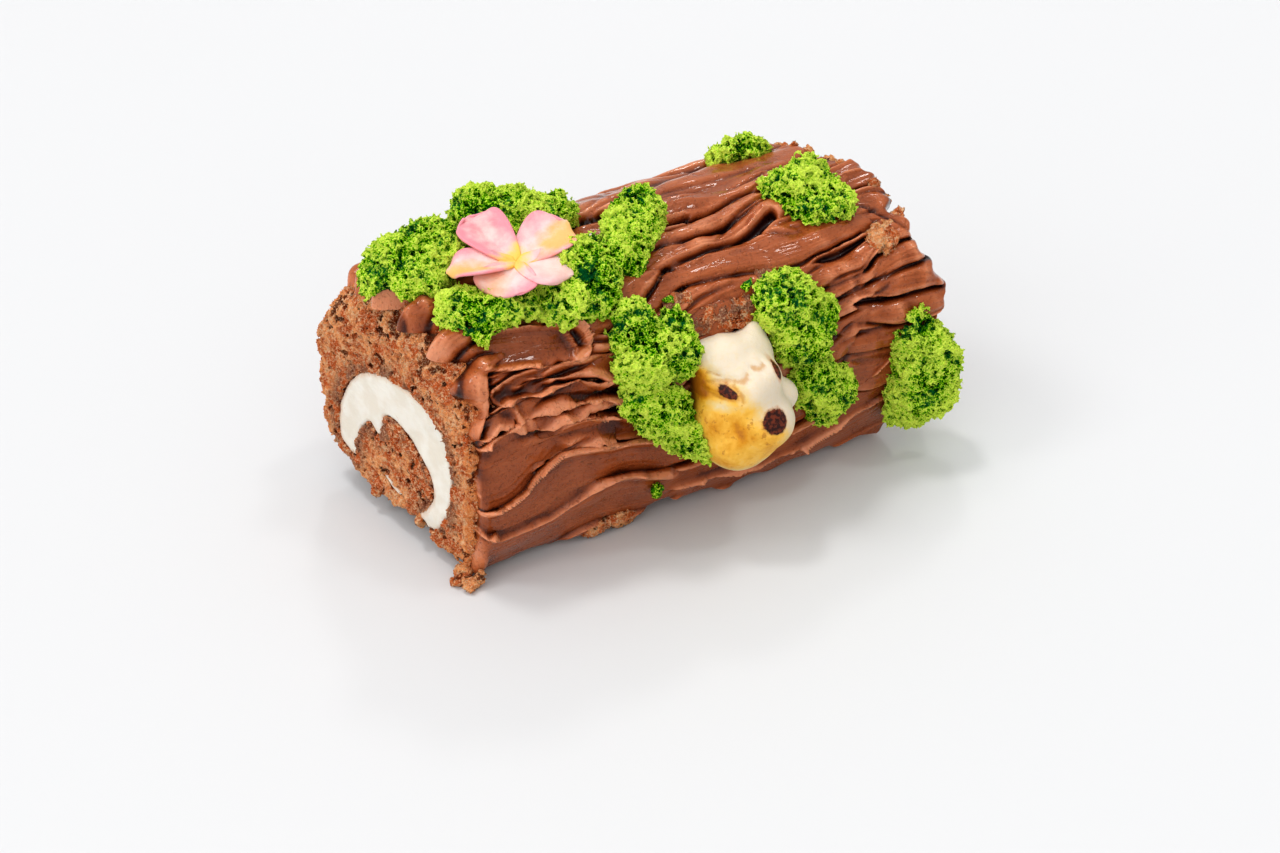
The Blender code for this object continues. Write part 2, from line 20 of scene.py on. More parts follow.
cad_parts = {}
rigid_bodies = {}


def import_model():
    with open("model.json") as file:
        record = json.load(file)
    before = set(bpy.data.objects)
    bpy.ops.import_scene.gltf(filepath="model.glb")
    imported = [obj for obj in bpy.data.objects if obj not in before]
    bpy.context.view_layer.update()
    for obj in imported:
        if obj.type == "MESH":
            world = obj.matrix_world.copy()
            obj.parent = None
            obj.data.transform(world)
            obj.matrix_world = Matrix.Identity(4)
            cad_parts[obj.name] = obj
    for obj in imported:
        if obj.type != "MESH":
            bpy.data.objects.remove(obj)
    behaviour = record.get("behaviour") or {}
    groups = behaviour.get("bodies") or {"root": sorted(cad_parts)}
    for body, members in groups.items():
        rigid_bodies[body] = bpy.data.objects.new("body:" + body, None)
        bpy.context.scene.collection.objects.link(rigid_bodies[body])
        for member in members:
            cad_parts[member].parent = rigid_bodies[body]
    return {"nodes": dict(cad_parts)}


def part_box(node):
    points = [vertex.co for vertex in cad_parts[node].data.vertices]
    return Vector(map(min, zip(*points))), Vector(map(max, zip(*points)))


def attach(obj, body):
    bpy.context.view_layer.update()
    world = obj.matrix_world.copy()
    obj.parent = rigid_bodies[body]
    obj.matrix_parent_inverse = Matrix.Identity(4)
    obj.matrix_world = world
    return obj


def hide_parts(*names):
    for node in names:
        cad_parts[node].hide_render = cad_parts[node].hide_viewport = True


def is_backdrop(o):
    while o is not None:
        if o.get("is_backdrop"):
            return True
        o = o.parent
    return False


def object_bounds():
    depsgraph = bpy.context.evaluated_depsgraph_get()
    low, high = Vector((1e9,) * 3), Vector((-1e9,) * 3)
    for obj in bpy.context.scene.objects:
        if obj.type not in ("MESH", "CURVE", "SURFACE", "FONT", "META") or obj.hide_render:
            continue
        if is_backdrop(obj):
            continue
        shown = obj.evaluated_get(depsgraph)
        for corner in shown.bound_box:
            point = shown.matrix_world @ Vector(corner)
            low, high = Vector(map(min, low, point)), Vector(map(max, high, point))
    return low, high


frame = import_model()
cad_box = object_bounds()
MM = 0.001
print("nodes:", len(frame["nodes"]), "box in mm:", [[round(c / MM) for c in corner] for corner in cad_box])

# %% [markdown]
# ## Floor, light and camera
#
# The cake stands in a bright white room. The world is white overhead and
# greyer at the horizon, which gives most of the light and keeps the shadows
# open. A softbox above, a window high on the left behind the cake and two
# pale walls shape it, and two small lamps put the glints on the frosting.
# Each of them is a sun whose angle is the size of what shines. Area lights
# would have to be placed, and would show in some views.

# %% Stage
FLOOR_SIZE = 40.0
FLOOR_GREY = (0.645, 0.645, 0.65)
HORIZON_GREY, OVERHEAD_WHITE = (0.46, 0.455, 0.45, 1.0), (0.98, 0.99, 1.0, 1.0)
ROOM_STRENGTH = 0.86

bpy.ops.mesh.primitive_plane_add(size=FLOOR_SIZE)
floor = bpy.context.object
floor.name = "pale_floor"
paint = bpy.data.materials.new("pale_floor")
paint.use_nodes = True
paint_shader = paint.node_tree.nodes["Principled BSDF"]
paint_shader.inputs["Base Color"].default_value = (*FLOOR_GREY, 1.0)
paint_shader.inputs["Roughness"].default_value = 0.6
floor.data.materials.append(paint)
floor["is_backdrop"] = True

world = bpy.data.worlds.new("white_room")
bpy.context.scene.world = world
world.use_nodes = True
sky = world.node_tree
sky.nodes["Background"].inputs["Strength"].default_value = ROOM_STRENGTH
way_up = sky.nodes.new("ShaderNodeSeparateXYZ")
ceiling = sky.nodes.new("ShaderNodeValToRGB")
ceiling.color_ramp.elements[0].color = HORIZON_GREY
ceiling.color_ramp.elements[1].color = OVERHEAD_WHITE
sky.links.new(sky.nodes.new("ShaderNodeTexCoord").outputs["Generated"], way_up.inputs[0])
sky.links.new(way_up.outputs["Z"], ceiling.inputs[0])
sky.links.new(ceiling.outputs[0], sky.nodes["Background"].inputs["Color"])


def shine(name, towards, strength, spread):
    """Even light from one side of the room. Spread is the angle its source fills, in degrees."""
    data = bpy.data.lights.new(name, "SUN")
    data.energy, data.angle = strength, math.radians(spread)
    made = bpy.data.objects.new(name, data)
    bpy.context.scene.collection.objects.link(made)
    made.rotation_euler = Vector(towards).to_track_quat("-Z", "Y").to_euler()


for light in [
    ("softbox", (0.10, -0.30, -0.95), 0.56, 9),
    ("window", (0.62, -0.30, -0.80), 0.42, 16),
    ("left_wall", (0.90, 0.25, -0.35), 0.66, 60),
    ("white_wall", (0.30, 0.75, -0.60), 0.34, 60),
    ("lamp_right", (-0.37, 0.15, -0.90), 0.22, 7),
    ("lamp_behind", (-0.35, -0.60, -0.70), 0.22, 7),
]:
    shine(*light)
bpy.context.scene.view_settings.view_transform = "Standard"
bpy.context.scene.view_settings.look = "Medium High Contrast"

# %% Camera
LOOK_AT = Vector((2.9, 6.7, 0)) * MM
SWING, PITCH, ROLL = math.radians(27.1), math.radians(36.6), math.radians(1.7)
DISTANCE = 683.2 * MM
forward = Vector((math.sin(SWING) * math.cos(PITCH), math.cos(SWING) * math.cos(PITCH), -math.sin(PITCH)))
level = Vector((math.cos(SWING), -math.sin(SWING), 0))
upright = level.cross(forward)
across_view = math.cos(ROLL) * level - math.sin(ROLL) * upright
up_view = math.sin(ROLL) * level + math.cos(ROLL) * upright
lens = bpy.data.cameras.new("camera")
lens.lens, lens.sensor_width = 60, 36
camera = bpy.data.objects.new("camera", lens)
bpy.context.scene.collection.objects.link(camera)
camera.matrix_world = (
    Matrix.Translation(LOOK_AT - forward * DISTANCE)
    @ Matrix((across_view, up_view, -forward)).transposed().to_4x4()
)
bpy.context.scene.camera = camera
print("camera stands at", [round(c / MM) for c in camera.location])

# %% [markdown]
# ## Shader maths as Python
#
# A finish is a small net of nodes. Wiring them by hand takes many lines, so
# one class wraps a socket: arithmetic on it adds Math nodes, and its `node`
# method makes any other node from its type, its settings and its sockets.


# %% Socket class
class Flow:
    """One output of a material's node tree."""

    def __init__(self, tree, socket=None):
        self.tree, self.socket = tree, socket

    def node(self, kind, settings=None, sockets=None, output=0):
        made = self.tree.nodes.new(kind)
        for name, value in (settings or {}).items():
            if name == "stops":
                ramp = made.color_ramp
                while len(ramp.elements) < len(value):
                    ramp.elements.new(0.5)
                for element, (place, colour) in zip(ramp.elements, value):
                    element.position, element.color = place, (*colour, 1.0)
            else:
                setattr(made, name, value)
        for name, value in (sockets or {}).items():
            if isinstance(value, Flow):
                self.tree.links.new(value.socket, made.inputs[name])
            else:
                made.inputs[name].default_value = value
        return Flow(self.tree, made.outputs[output])

    def maths(self, operation, first, second):
        return self.node("ShaderNodeMath", {"operation": operation}, {0: first, 1: second})

    def __add__(self, other):
        return self.maths("ADD", self, other)

    __radd__ = __add__

    def __sub__(self, other):
        return self.maths("SUBTRACT", self, other)

    def __rsub__(self, other):
        return self.maths("SUBTRACT", other, self)

    def __mul__(self, other):
        return self.maths("MULTIPLY", self, other)

    __rmul__ = __mul__

    def clamped(self):
        return self.node("ShaderNodeClamp", sockets={"Value": self})

    def between(self, low, high):
        """0 below low, 1 above high, smooth in between."""
        return self.node(
            "ShaderNodeMapRange", {"interpolation_type": "SMOOTHSTEP"},
            {"Value": self, "From Min": low, "From Max": high},
        )

    def tint(self, share, first, second):
        """Mix of two colours."""
        colours = {0: share}
        for slot, colour in ((6, first), (7, second)):
            colours[slot] = colour if isinstance(colour, Flow) else (*colour, 1.0)
        return self.node("ShaderNodeMix", {"data_type": "RGBA"}, colours, 2)

    def ramp(self, *stops):
        """Colours strung along a number from 0 to 1."""
        return self.node("ShaderNodeValToRGB", {"stops": stops}, {"Fac": self.clamped()})

    def measured(self, name):
        """A number stored on the mesh's points."""
        return self.node("ShaderNodeAttribute", {"attribute_name": name}, output="Fac")

    def speckle(self, size_mm, detail, where=None, rough=0.55):
        """Noise whose lumps are about this many millimetres across."""
        where = where or self.node("ShaderNodeTexCoord", output="Object")
        return self.node(
            "ShaderNodeTexNoise", {"noise_dimensions": "3D"},
            {"Vector": where, "Scale": 1 / (size_mm * MM), "Detail": detail, "Roughness": rough},
        )


class Finish:
    """A Principled material: constants straight on the shader, varying things linked."""

    def __init__(self, name, gloss, glow, glow_colour, glow_mm=2.0, **constants):
        """Gloss is the specular level, glow the share of light that travels so deep under the skin."""
        constants.update({
            "Specular_IOR_Level": gloss, "Subsurface_Weight": glow,
            "Subsurface_Radius": glow_colour, "Subsurface_Scale": glow_mm * MM,
        })
        self.material = bpy.data.materials.new(name)
        self.material.use_nodes = True
        self.tree = self.material.node_tree
        self.shader = self.tree.nodes["Principled BSDF"]
        self.start = Flow(self.tree)
        for socket, value in constants.items():
            self.shader.inputs[socket.replace("_", " ")].default_value = value

    def feed(self, socket, flow):
        self.tree.links.new(flow.socket, self.shader.inputs[socket])

    def bumpy(self, height, depth_mm):
        bump = self.start.node(
            "ShaderNodeBump", {}, {"Height": height, "Distance": depth_mm * MM, "Strength": 1.0}
        )
        self.feed("Normal", bump)


print("shader helpers ready")

# %% [markdown]
# ## Random lumps and skins
#
# Food has no straight faces. Two helpers make its surfaces: `cloud` is a
# smooth random field on a regular grid, and `skin` turns a list of points
# and four-sided faces into a Blender mesh with numbers stored on its points.


# %% Helpers
def cloud(shape, cells, seed):
    """Smooth random field, about -1 to 1, with lumps of so many samples along each axis."""
    rng = np.random.default_rng(seed)
    field = rng.uniform(-1.6, 1.6, [int(n / c) + 5 for n, c in zip(shape, cells)])
    for axis, (count, cell) in enumerate(zip(shape, cells)):
        at = np.arange(count) / cell + rng.random()
        whole = at.astype(int)
        t = at - whole
        weights = (
            (1 - t) ** 3 / 6, (3 * t**3 - 6 * t**2 + 4) / 6,
            (-3 * t**3 + 3 * t**2 + 3 * t + 1) / 6, t**3 / 6,
        )
        field = np.moveaxis(field, axis, 0)
        spread = (-1,) + (1,) * (field.ndim - 1)
        field = sum(field[whole + k] * w.reshape(spread) for k, w in enumerate(weights))
        field = np.moveaxis(field, 0, axis)
    return field.astype(np.float32)


def ease(value, low, high):
    """0 below low, 1 above high, smooth in between."""
    t = np.clip((value - low) / (high - low), 0, 1)
    return t * t * (3 - 2 * t)


def skin(name, points, faces, finish, smooth=True, **stored):
    """Mesh object from points in millimetres and faces of three or four corners."""
    mesh = bpy.data.meshes.new(name)
    corners = faces.shape[1]
    mesh.vertices.add(len(points))
    mesh.vertices.foreach_set("co", (np.asarray(points) * MM).astype(np.float32).ravel())
    mesh.loops.add(faces.size)
    mesh.loops.foreach_set("vertex_index", faces.astype(np.int32).ravel())
    mesh.polygons.add(len(faces))
    mesh.polygons.foreach_set("loop_start", np.arange(0, faces.size, corners, dtype=np.int32))
    mesh.polygons.foreach_set("use_smooth", np.full(len(faces), smooth))
    for key, values in stored.items():
        mesh.attributes.new(key, "FLOAT", "POINT").data.foreach_set("value", values.astype(np.float32))
    mesh.update(calc_edges=True)
    mesh.materials.append(finish.material)
    made = bpy.data.objects.new(name, mesh)
    bpy.context.scene.collection.objects.link(made)
    print(name, len(points), "points", len(faces) * (corners - 2), "triangles")
    return made


def sheet_faces(rows, columns):
    """Quads of a grid of points stored row by row."""
    first = (np.arange(rows - 1)[:, None] * columns + np.arange(columns - 1)).ravel()
    return np.stack([first, first + 1, first + columns + 1, first + columns], 1)


def place(piece, nodes, slot):
    """Give a finished piece its body and hide the solids it stands for. The slot is not used."""
    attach(piece, "root")
    if nodes:
        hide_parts(*nodes)
    return piece


print("mesh helpers ready")

# %% [markdown]
# ## The log's section
#
# Everything on the log is placed by two lengths: along its axis, and round
# its girth from the foot of the bear's side over the crown to the far foot.
# The section is a pair of straight sides that draw in at the foot, under a
# superellipse arch.

# %% Girth
HALF_WIDTH, SPRING_LINE, RISE, ARCH_ROUNDNESS = 42, 41, 41, 2.4
FOOT_TUCK, TUCK_HEIGHT = 6, 28


def section_line():
    side_up = np.linspace(0, SPRING_LINE, 80, endpoint=False)
    side = HALF_WIDTH - FOOT_TUCK * np.clip(1 - side_up / TUCK_HEIGHT, 0, None) ** 2
    turn = np.linspace(0, math.pi, 900)
    power = 2 / ARCH_ROUNDNESS
    arch = -np.sign(np.cos(turn)) * np.abs(np.cos(turn)) ** power * HALF_WIDTH
    arch_up = SPRING_LINE + RISE * np.clip(np.sin(turn), 0, None) ** power
    across = np.concatenate([-side, arch, side[::-1]])
    up = np.concatenate([side_up, arch_up, side_up[::-1]])
    girth = np.concatenate([[0], np.cumsum(np.hypot(np.diff(across), np.diff(up)))])
    return across, up, girth


SECTION_ACROSS, SECTION_UP, SECTION_GIRTH = section_line()
GIRTH = SECTION_GIRTH[-1]
STEPS = np.linspace(0, GIRTH, 600)
SLOPE_ACROSS = np.gradient(np.interp(STEPS, SECTION_GIRTH, SECTION_ACROSS), STEPS)
SLOPE_UP = np.gradient(np.interp(STEPS, SECTION_GIRTH, SECTION_UP), STEPS)


def section(girth):
    """Across, up and the outward normal at a length round the girth."""
    across = np.interp(girth, SECTION_GIRTH, SECTION_ACROSS)
    up = np.interp(girth, SECTION_GIRTH, SECTION_UP)
    out_across = -np.interp(girth, STEPS, SLOPE_UP)
    out_up = np.interp(girth, STEPS, SLOPE_ACROSS)
    length = np.hypot(out_across, out_up)
    return across, up, out_across / length, out_up / length


def cut_plane(across, up):
    return -74.5 + 0.04 * up - 0.22 * (across + HALF_WIDTH)


def far_plane(across, up):
    return 69 + 0.15 * up - 0.28 * (across + HALF_WIDTH)


print("girth", round(GIRTH, 1), "mm")

# %% [markdown]
# ## Frosting
#
# The coat is spread with a palette knife and then pulled along the log, so
# that it looks like bark. Each pull presses a shallow trough, squeezes a
# thin crest out along both edges and leaves a lip where the knife lifts.
# Where more was laid on, it lies in rounded ribbons with creases between.
# One sheet of points is wrapped round the log. Every pull and ribbon changes
# the height of the points it passes, and a pull also pushes its crests
# sideways, so that they lean over and cast a shadow. Sculpting by hand would
# look as good but couldn't be repeated.

# %% The sheet and its edges
ALONG_POINTS, GIRTH_POINTS = 270, 470
FINE_SHARE, FINE_GIRTH = 0.685, 0.52
CROWN_EASE = 0.7

share_along = np.linspace(0, 1, ALONG_POINTS)[:, None] * np.ones(GIRTH_POINTS)
share_girth = np.interp(np.linspace(0, 1, GIRTH_POINTS), [0, FINE_SHARE, 1], [0, FINE_GIRTH, 1])
share_girth = np.ones(ALONG_POINTS)[:, None] * share_girth
about_along = -78 + 158 * share_along[:, 0]
# bites out of the hem on the bear's side: where along the log, how wide, how deep
HEM_BITES = [(-31, 7, 4.5), (-9, 10, 2.0)]
hem = 1.6 + 1.5 * cloud((ALONG_POINTS,), (9,), 3)
hem += sum(deep * np.exp(-((about_along - at) / wide) ** 2) for at, wide, deep in HEM_BITES)
hem = np.clip(hem, 0.15, None) * ease(about_along, -76, -62)
far_hem = np.clip(1.0 + 1.5 * cloud((ALONG_POINTS,), (11,), 4), 0.1, None)
girth = hem[:, None] + share_girth * (GIRTH - hem - far_hem)[:, None]
across, up, out_across, out_up = section(girth)
crown = np.clip(out_up, 0, 1) ** CROWN_EASE * (up > SPRING_LINE)

# rounded lobes hang over the shown cut, and the far edge is torn
LOBE_AT, LOBE_WIDTH = 84.5, 15.0
lobe = 0.5 + 0.5 * np.cos(2 * math.pi * (girth - LOBE_AT) / LOBE_WIDTH)
start = cut_plane(across, up) + 0.3 + (7.0 - 9.0 * lobe**0.7) * crown
start += 10 * np.clip(out_across, 0, 1)
start += 0.6 * cloud(start.shape, (ALONG_POINTS, 12), 5)
lip = 8 * np.exp(-((up - 48) / 14) ** 2) * (out_across < 0)
torn_end = 3.4 * cloud(start.shape, (ALONG_POINTS, 24), 6)
torn_end += 3.0 * cloud(start.shape, (ALONG_POINTS, 7), 8)
end = far_plane(across, up) + 0.2 + lip + torn_end * (0.35 + 0.65 * crown)
along = start + (end - start) * share_along
print("sheet", along.shape, "spacing", round(float((end - start).mean() / ALONG_POINTS), 2), "mm along")

# %% Slow rise and fall
swell = 1.0 * cloud(along.shape, (46, 38), 11) + 0.4 * cloud(along.shape, (22, 13), 12)
swell += 1.3 * cloud(along.shape, (17, 24), 18) * ease(girth, 74, 84) * ease(112 - girth, -10, 0)
CROWN_ROLL, SHOULDER_ROLL = 14.0, 5.6
bend = 9 * cloud(along.shape, (80, 80), 13) + 4 * cloud(along.shape, (36, 36), 14)
crown_rolls = np.abs(np.sin(math.pi * (girth + bend - 0.12 * along) / CROWN_ROLL)) ** 0.65 - 0.7
side_rolls = np.abs(np.sin(math.pi * (girth + 0.45 * bend) / SHOULDER_ROLL)) ** 0.65 - 0.7
# the girth and the stretch of the log where each set of rolls fades in and out
on_crown = ease(girth, 84, 96) * ease(150 - girth, 0, 14)
on_shoulder = ease(girth, 44, 50) * ease(72 - girth, 0, 8) * ease(-along, -4, 14) * ease(along, -64, -54)
swell += 0.8 * crown_rolls * on_crown + 1.9 * side_rolls * on_shoulder
near_front = np.exp(-((along - start) / 10) ** 2) * crown
swell += (2.4 * lobe - 1.0) * near_front
height = swell.copy()
weave_along = 2.0 * cloud(along.shape, (26, 20), 15)
weave_girth = 1.9 * cloud(along.shape, (20, 24), 16) + 0.45 * cloud(along.shape, (8, 10), 17)
slide_along = np.zeros_like(height)
slide_girth = np.zeros_like(height)
print("swell in mm from", round(float(swell.min()), 1), "to", round(float(swell.max()), 1))

# %% One pull of the knife
SEGMENTS = 20
SHINGLE, CREST_GAIN, CREST_IN, CREST_OUT = 0.55, 1.7, 0.55, 0.5
CREASE_GAIN, CREASE_AT, CREASE_WIDTH = 0.9, 1.5, 0.6


def smooth_path(path):
    """Evenly stepped curve through points of (along, girth, width)."""
    path = np.array(path, float)
    knots = np.arange(len(path))
    at = np.linspace(0, len(path) - 1, SEGMENTS + 1)
    slopes = np.gradient(path, axis=0)
    k = np.clip(at.astype(int), 0, len(path) - 2)
    t = (at - knots[k])[:, None]
    h00, h10 = 2 * t**3 - 3 * t**2 + 1, t**3 - 2 * t**2 + t
    h01, h11 = -2 * t**3 + 3 * t**2, t**3 - t**2
    return h00 * path[k] + h10 * slopes[k] + h01 * path[k + 1] + h11 * slopes[k + 1]


def trace(path):
    """The patch of the sheet near a path. For each of its points: the gap to the path, the side
    it lies on, how far along the path, the path's half width there, and the way out."""
    line = smooth_path(path)
    reach = line[:, 2].max() / 2 + 4
    columns = (girth.max(0) > line[:, 1].min() - reach) & (girth.min(0) < line[:, 1].max() + reach)
    rows = (along.max(1) > line[:, 0].min() - reach) & (along.min(1) < line[:, 0].max() + reach)
    if not columns.any() or not rows.any():
        return None
    c, r = np.flatnonzero(columns), np.flatnonzero(rows)
    patch = (slice(r[0], r[-1] + 1), slice(c[0], c[-1] + 1))
    x, v = along[patch] + weave_along[patch], girth[patch] + weave_girth[patch]
    gap = np.full(x.shape, 1e6)
    side, share, half = np.zeros_like(x), np.zeros_like(x), np.ones_like(x)
    away_x, away_v = np.zeros_like(x), np.zeros_like(x)
    for k, (a, b) in enumerate(zip(line, line[1:])):
        sx, sv = b[0] - a[0], b[1] - a[1]
        length = math.hypot(sx, sv) + 1e-6
        q = np.clip(((x - a[0]) * sx + (v - a[1]) * sv) / length**2, 0, 1)
        dx, dv = x - a[0] - q * sx, v - a[1] - q * sv
        distance = np.hypot(dx, dv)
        here = distance < gap
        gap = np.where(here, distance, gap)
        side = np.where(here, np.sign(sx * dv - sv * dx), side)
        share = np.where(here, (k + q) / SEGMENTS, share)
        half = np.where(here, (a[2] + (b[2] - a[2]) * q) / 2, half)
        away_x = np.where(here, dx / (distance + 0.05), away_x)
        away_v = np.where(here, dv / (distance + 0.05), away_v)
    return patch, gap, side, share, half, away_x, away_v


def pull(path, depth, low_crest, high_crest, end_lip, over, tilt, fade, seed):
    """Press one pull of the knife into the sheet. The path is (along, girth, width) points."""
    found = trace(path)
    if found is None:
        return
    patch, gap, side, share, half, away_x, away_v = found
    own = np.random.default_rng(1000 + seed)
    past = gap - half
    started = ease(share, 0.0, fade)
    inside = ease(-past, 0.0, 0.8) * started
    offset = side * gap / half
    lines = np.interp((offset + 1.2) * 14, np.arange(40), own.normal(0, 1, 40))
    waver = np.interp(share * 12, np.arange(14), own.uniform(0.55, 1.35, 14))
    slope = tilt + SHINGLE * (high_crest - low_crest)
    trough = swell[patch] - depth + slope * offset + 0.5 * depth * (offset**2 - 0.4) + 0.06 * lines
    height[patch] += (trough - height[patch]) * inside
    crest = np.where(side > 0, high_crest, low_crest)
    crest = crest + (end_lip - crest) * ease(share, 0.94, 1.0)
    shape = np.exp(-np.abs(past / np.where(past < 0, CREST_IN, CREST_OUT)) ** 1.5) * started * waver
    height[patch] += CREST_GAIN * crest * shape
    foot = np.exp(-((past - CREASE_AT) / CREASE_WIDTH) ** 2) * started * waver
    height[patch] -= CREASE_GAIN * crest * foot
    lean = over * crest * np.exp(-((past - 0.1) / 0.7) ** 2) * started * waver
    slide_along[patch] += lean * away_x
    slide_girth[patch] += lean * away_v


print("a path is followed in", SEGMENTS, "steps")

# %% One ribbon
RIBBON_ROUND, RIBBON_CREASE = 0.62, 0.55


def ribbon(path, bulge, lean, seed):
    """Lay one rounded ribbon of frosting over the sheet. Where two of them meet, a crease is left."""
    found = trace(path)
    if found is None:
        return
    patch, gap, side, share, half, *_ = found
    own = np.random.default_rng(3000 + seed)
    offset = side * gap / half
    lines = np.interp((offset + 1.2) * 12, np.arange(40), own.normal(0, 1, 40))
    waver = np.interp(share * 10, np.arange(12), own.uniform(0.75, 1.2, 12))
    ends = np.clip(half / half.max(), 0, 1) * ease(share, 0, 0.10) * ease(1 - share, 0, 0.06)
    profile = np.clip(1 - offset**2, 0, 1) ** RIBBON_ROUND
    top = swell[patch] - 0.5 + ends * (waver * bulge * profile + lean * offset + 0.09 * lines)
    under_it = offset**2 < 1
    height[patch] = np.where(under_it, np.maximum(height[patch] - 0.5 * ends * profile, top), height[patch])
    rim = np.exp(-((gap - half - 0.3) / 0.7) ** 2) * ends
    height[patch] -= RIBBON_CREASE * bulge * rim


def relief_span(after):
    low, high = round(float(height.min()), 1), round(float(height.max()), 1)
    print("relief in mm after", after, "from", low, "to", high)


relief_span("the slow rise and fall")


# %% Strokes at random
def arc(shape, x, v, length, width, slope, bow):
    """A bowed path through (share of the length, share of the width) points."""
    return [(x + t * length, v + t * length * slope + bow * (1 - 4 * t * t), width * w) for t, w in shape]


def random_pulls(count, along_span, girth_span, lengths, widths, slopes, depth, crest, over, seed):
    own = np.random.default_rng(seed)
    for k in range(count):
        x, v = own.uniform(*along_span), own.uniform(*girth_span)
        length, width = own.uniform(*lengths), own.uniform(*widths)
        slope, bow = own.uniform(*slopes), own.normal(0, 0.06) * length
        way = own.choice([-1, 1])
        path = arc([(-0.5, 0.8), (0, 1.0), (0.5, 0.7)], x, v, way * length, width, slope, bow)
        pull(
            path, depth * own.uniform(0.5, 1.3), crest * own.uniform(0.2, 1.0),
            crest * own.uniform(0.4, 1.2), crest * own.uniform(0.4, 1.3), over, own.normal(0, 0.35),
            0.2, seed + k,
        )


def random_ribbons(count, along_span, girth_span, lengths, widths, slopes, bulges, seed):
    own = np.random.default_rng(seed)
    for k in range(count):
        x, v = own.uniform(*along_span), own.uniform(*girth_span)
        length, width = own.uniform(*lengths), own.uniform(*widths)
        slope, bow = own.uniform(*slopes), own.normal(0, 0.10) * length
        path = arc([(-0.5, 0.25), (-0.2, 0.9), (0.2, 1.0), (0.5, 0.3)], x, v, length, width, slope, bow)
        ribbon(path, own.uniform(*bulges), own.normal(-0.6, 0.45), seed + k)


# how many, then where along and round, lengths, widths, slopes and how strong
random_pulls(46, (-75, 85), (0, 218), (45, 80), (11, 18), (-0.18, 0.18), 0.7, 0.6, 0.5, 100)
random_ribbons(34, (-75, 85), (76, 180), (34, 75), (9, 17), (-0.33, 0.33), (1.5, 3.0), 200)
random_pulls(44, (-62, 0), (42, 72), (25, 50), (2.8, 5.0), (-0.10, 0.10), 1.3, 1.0, 0.9, 300)
random_ribbons(20, (-10, 85), (34, 78), (26, 55), (8, 14), (-0.15, 0.3), (1.4, 2.6), 400)
random_pulls(24, (-60, 85), (150, 218), (30, 60), (6, 12), (-0.12, 0.12), 0.8, 0.8, 0.7, 500)
relief_span("random strokes")

# %% Pulls listed one by one
# broad pulls low on the bear's side: path, depth, low crest, high crest, end lip, crest lean, tilt, fade
for number, (path, shape) in enumerate([
    ([(-72, 10, 18), (-52, 10, 17), (-40, 15, 19), (-30, 15, 18), (-18, 12, 14), (-4, 9, 9)],
     (0.8, 0.1, 2.0, 0.3, 1.1, -0.2, 0.02)),
    ([(-75, 27, 4), (-66, 23.3, 12), (-54, 24.7, 15), (-46, 30, 17), (-33, 31.7, 14), (-22, 29, 13),
      (-8, 21, 12), (6, 17, 10)], (0.9, 0.2, 2.1, 0.4, 1.1, -0.3, 0.02)),
    ([(-74, 39, 18), (-64, 41, 22), (-54, 46, 16), (-44, 47, 9), (-36, 46, 5)],
     (0.9, 0.3, 1.5, 0.5, 1.0, -0.4, 0.02)),
    ([(-14, 14.5, 6), (0, 14, 7), (19, 13.8, 9), (33, 17, 10), (50, 23, 12), (72, 31, 13)],
     (0.7, 1.3, 1.5, 0.3, 0.9, 0.2, 0.1)),
    ([(-12, 5, 9), (5, 5, 9), (25, 5, 8), (50, 9, 12), (72, 15, 16)], (0.9, 0.1, 0.6, 0.3, 0.5, 0.2, 0.1)),
    # long narrow bark on the shoulder above them
    ([(-50, 65, 3), (-42, 65.2, 5), (-32, 65, 4.5), (-18, 63, 4)], (1.2, 1.0, 0.9, 0.3, 0.9, 0, 0.15)),
    ([(-55, 58, 5), (-42, 58.5, 5), (-30, 57, 4), (-16, 55, 4)], (1.4, 1.2, 1.0, 0.3, 1.0, 0, 0.2)),
    ([(-56, 53, 5), (-45, 54, 5), (-33, 53, 4), (-18, 50, 4)], (1.3, 0.9, 1.1, 0.3, 1.0, 0, 0.2)),
    ([(-48, 46, 5), (-36, 45, 5), (-24, 42, 4), (-12, 38, 4)], (1.1, 0.7, 1.1, 0.3, 0.9, 0, 0.2)),
    # smooth scoop by the front edge, ending in a standing lip
    ([(-68, 78, 9), (-54, 76.5, 11), (-44, 75, 10), (-37, 74, 8)], (0.9, 0.9, 0.5, 1.6, 0.9, 0.2, 0.1)),
]):
    pull(path, *shape, number)
relief_span("pulls")
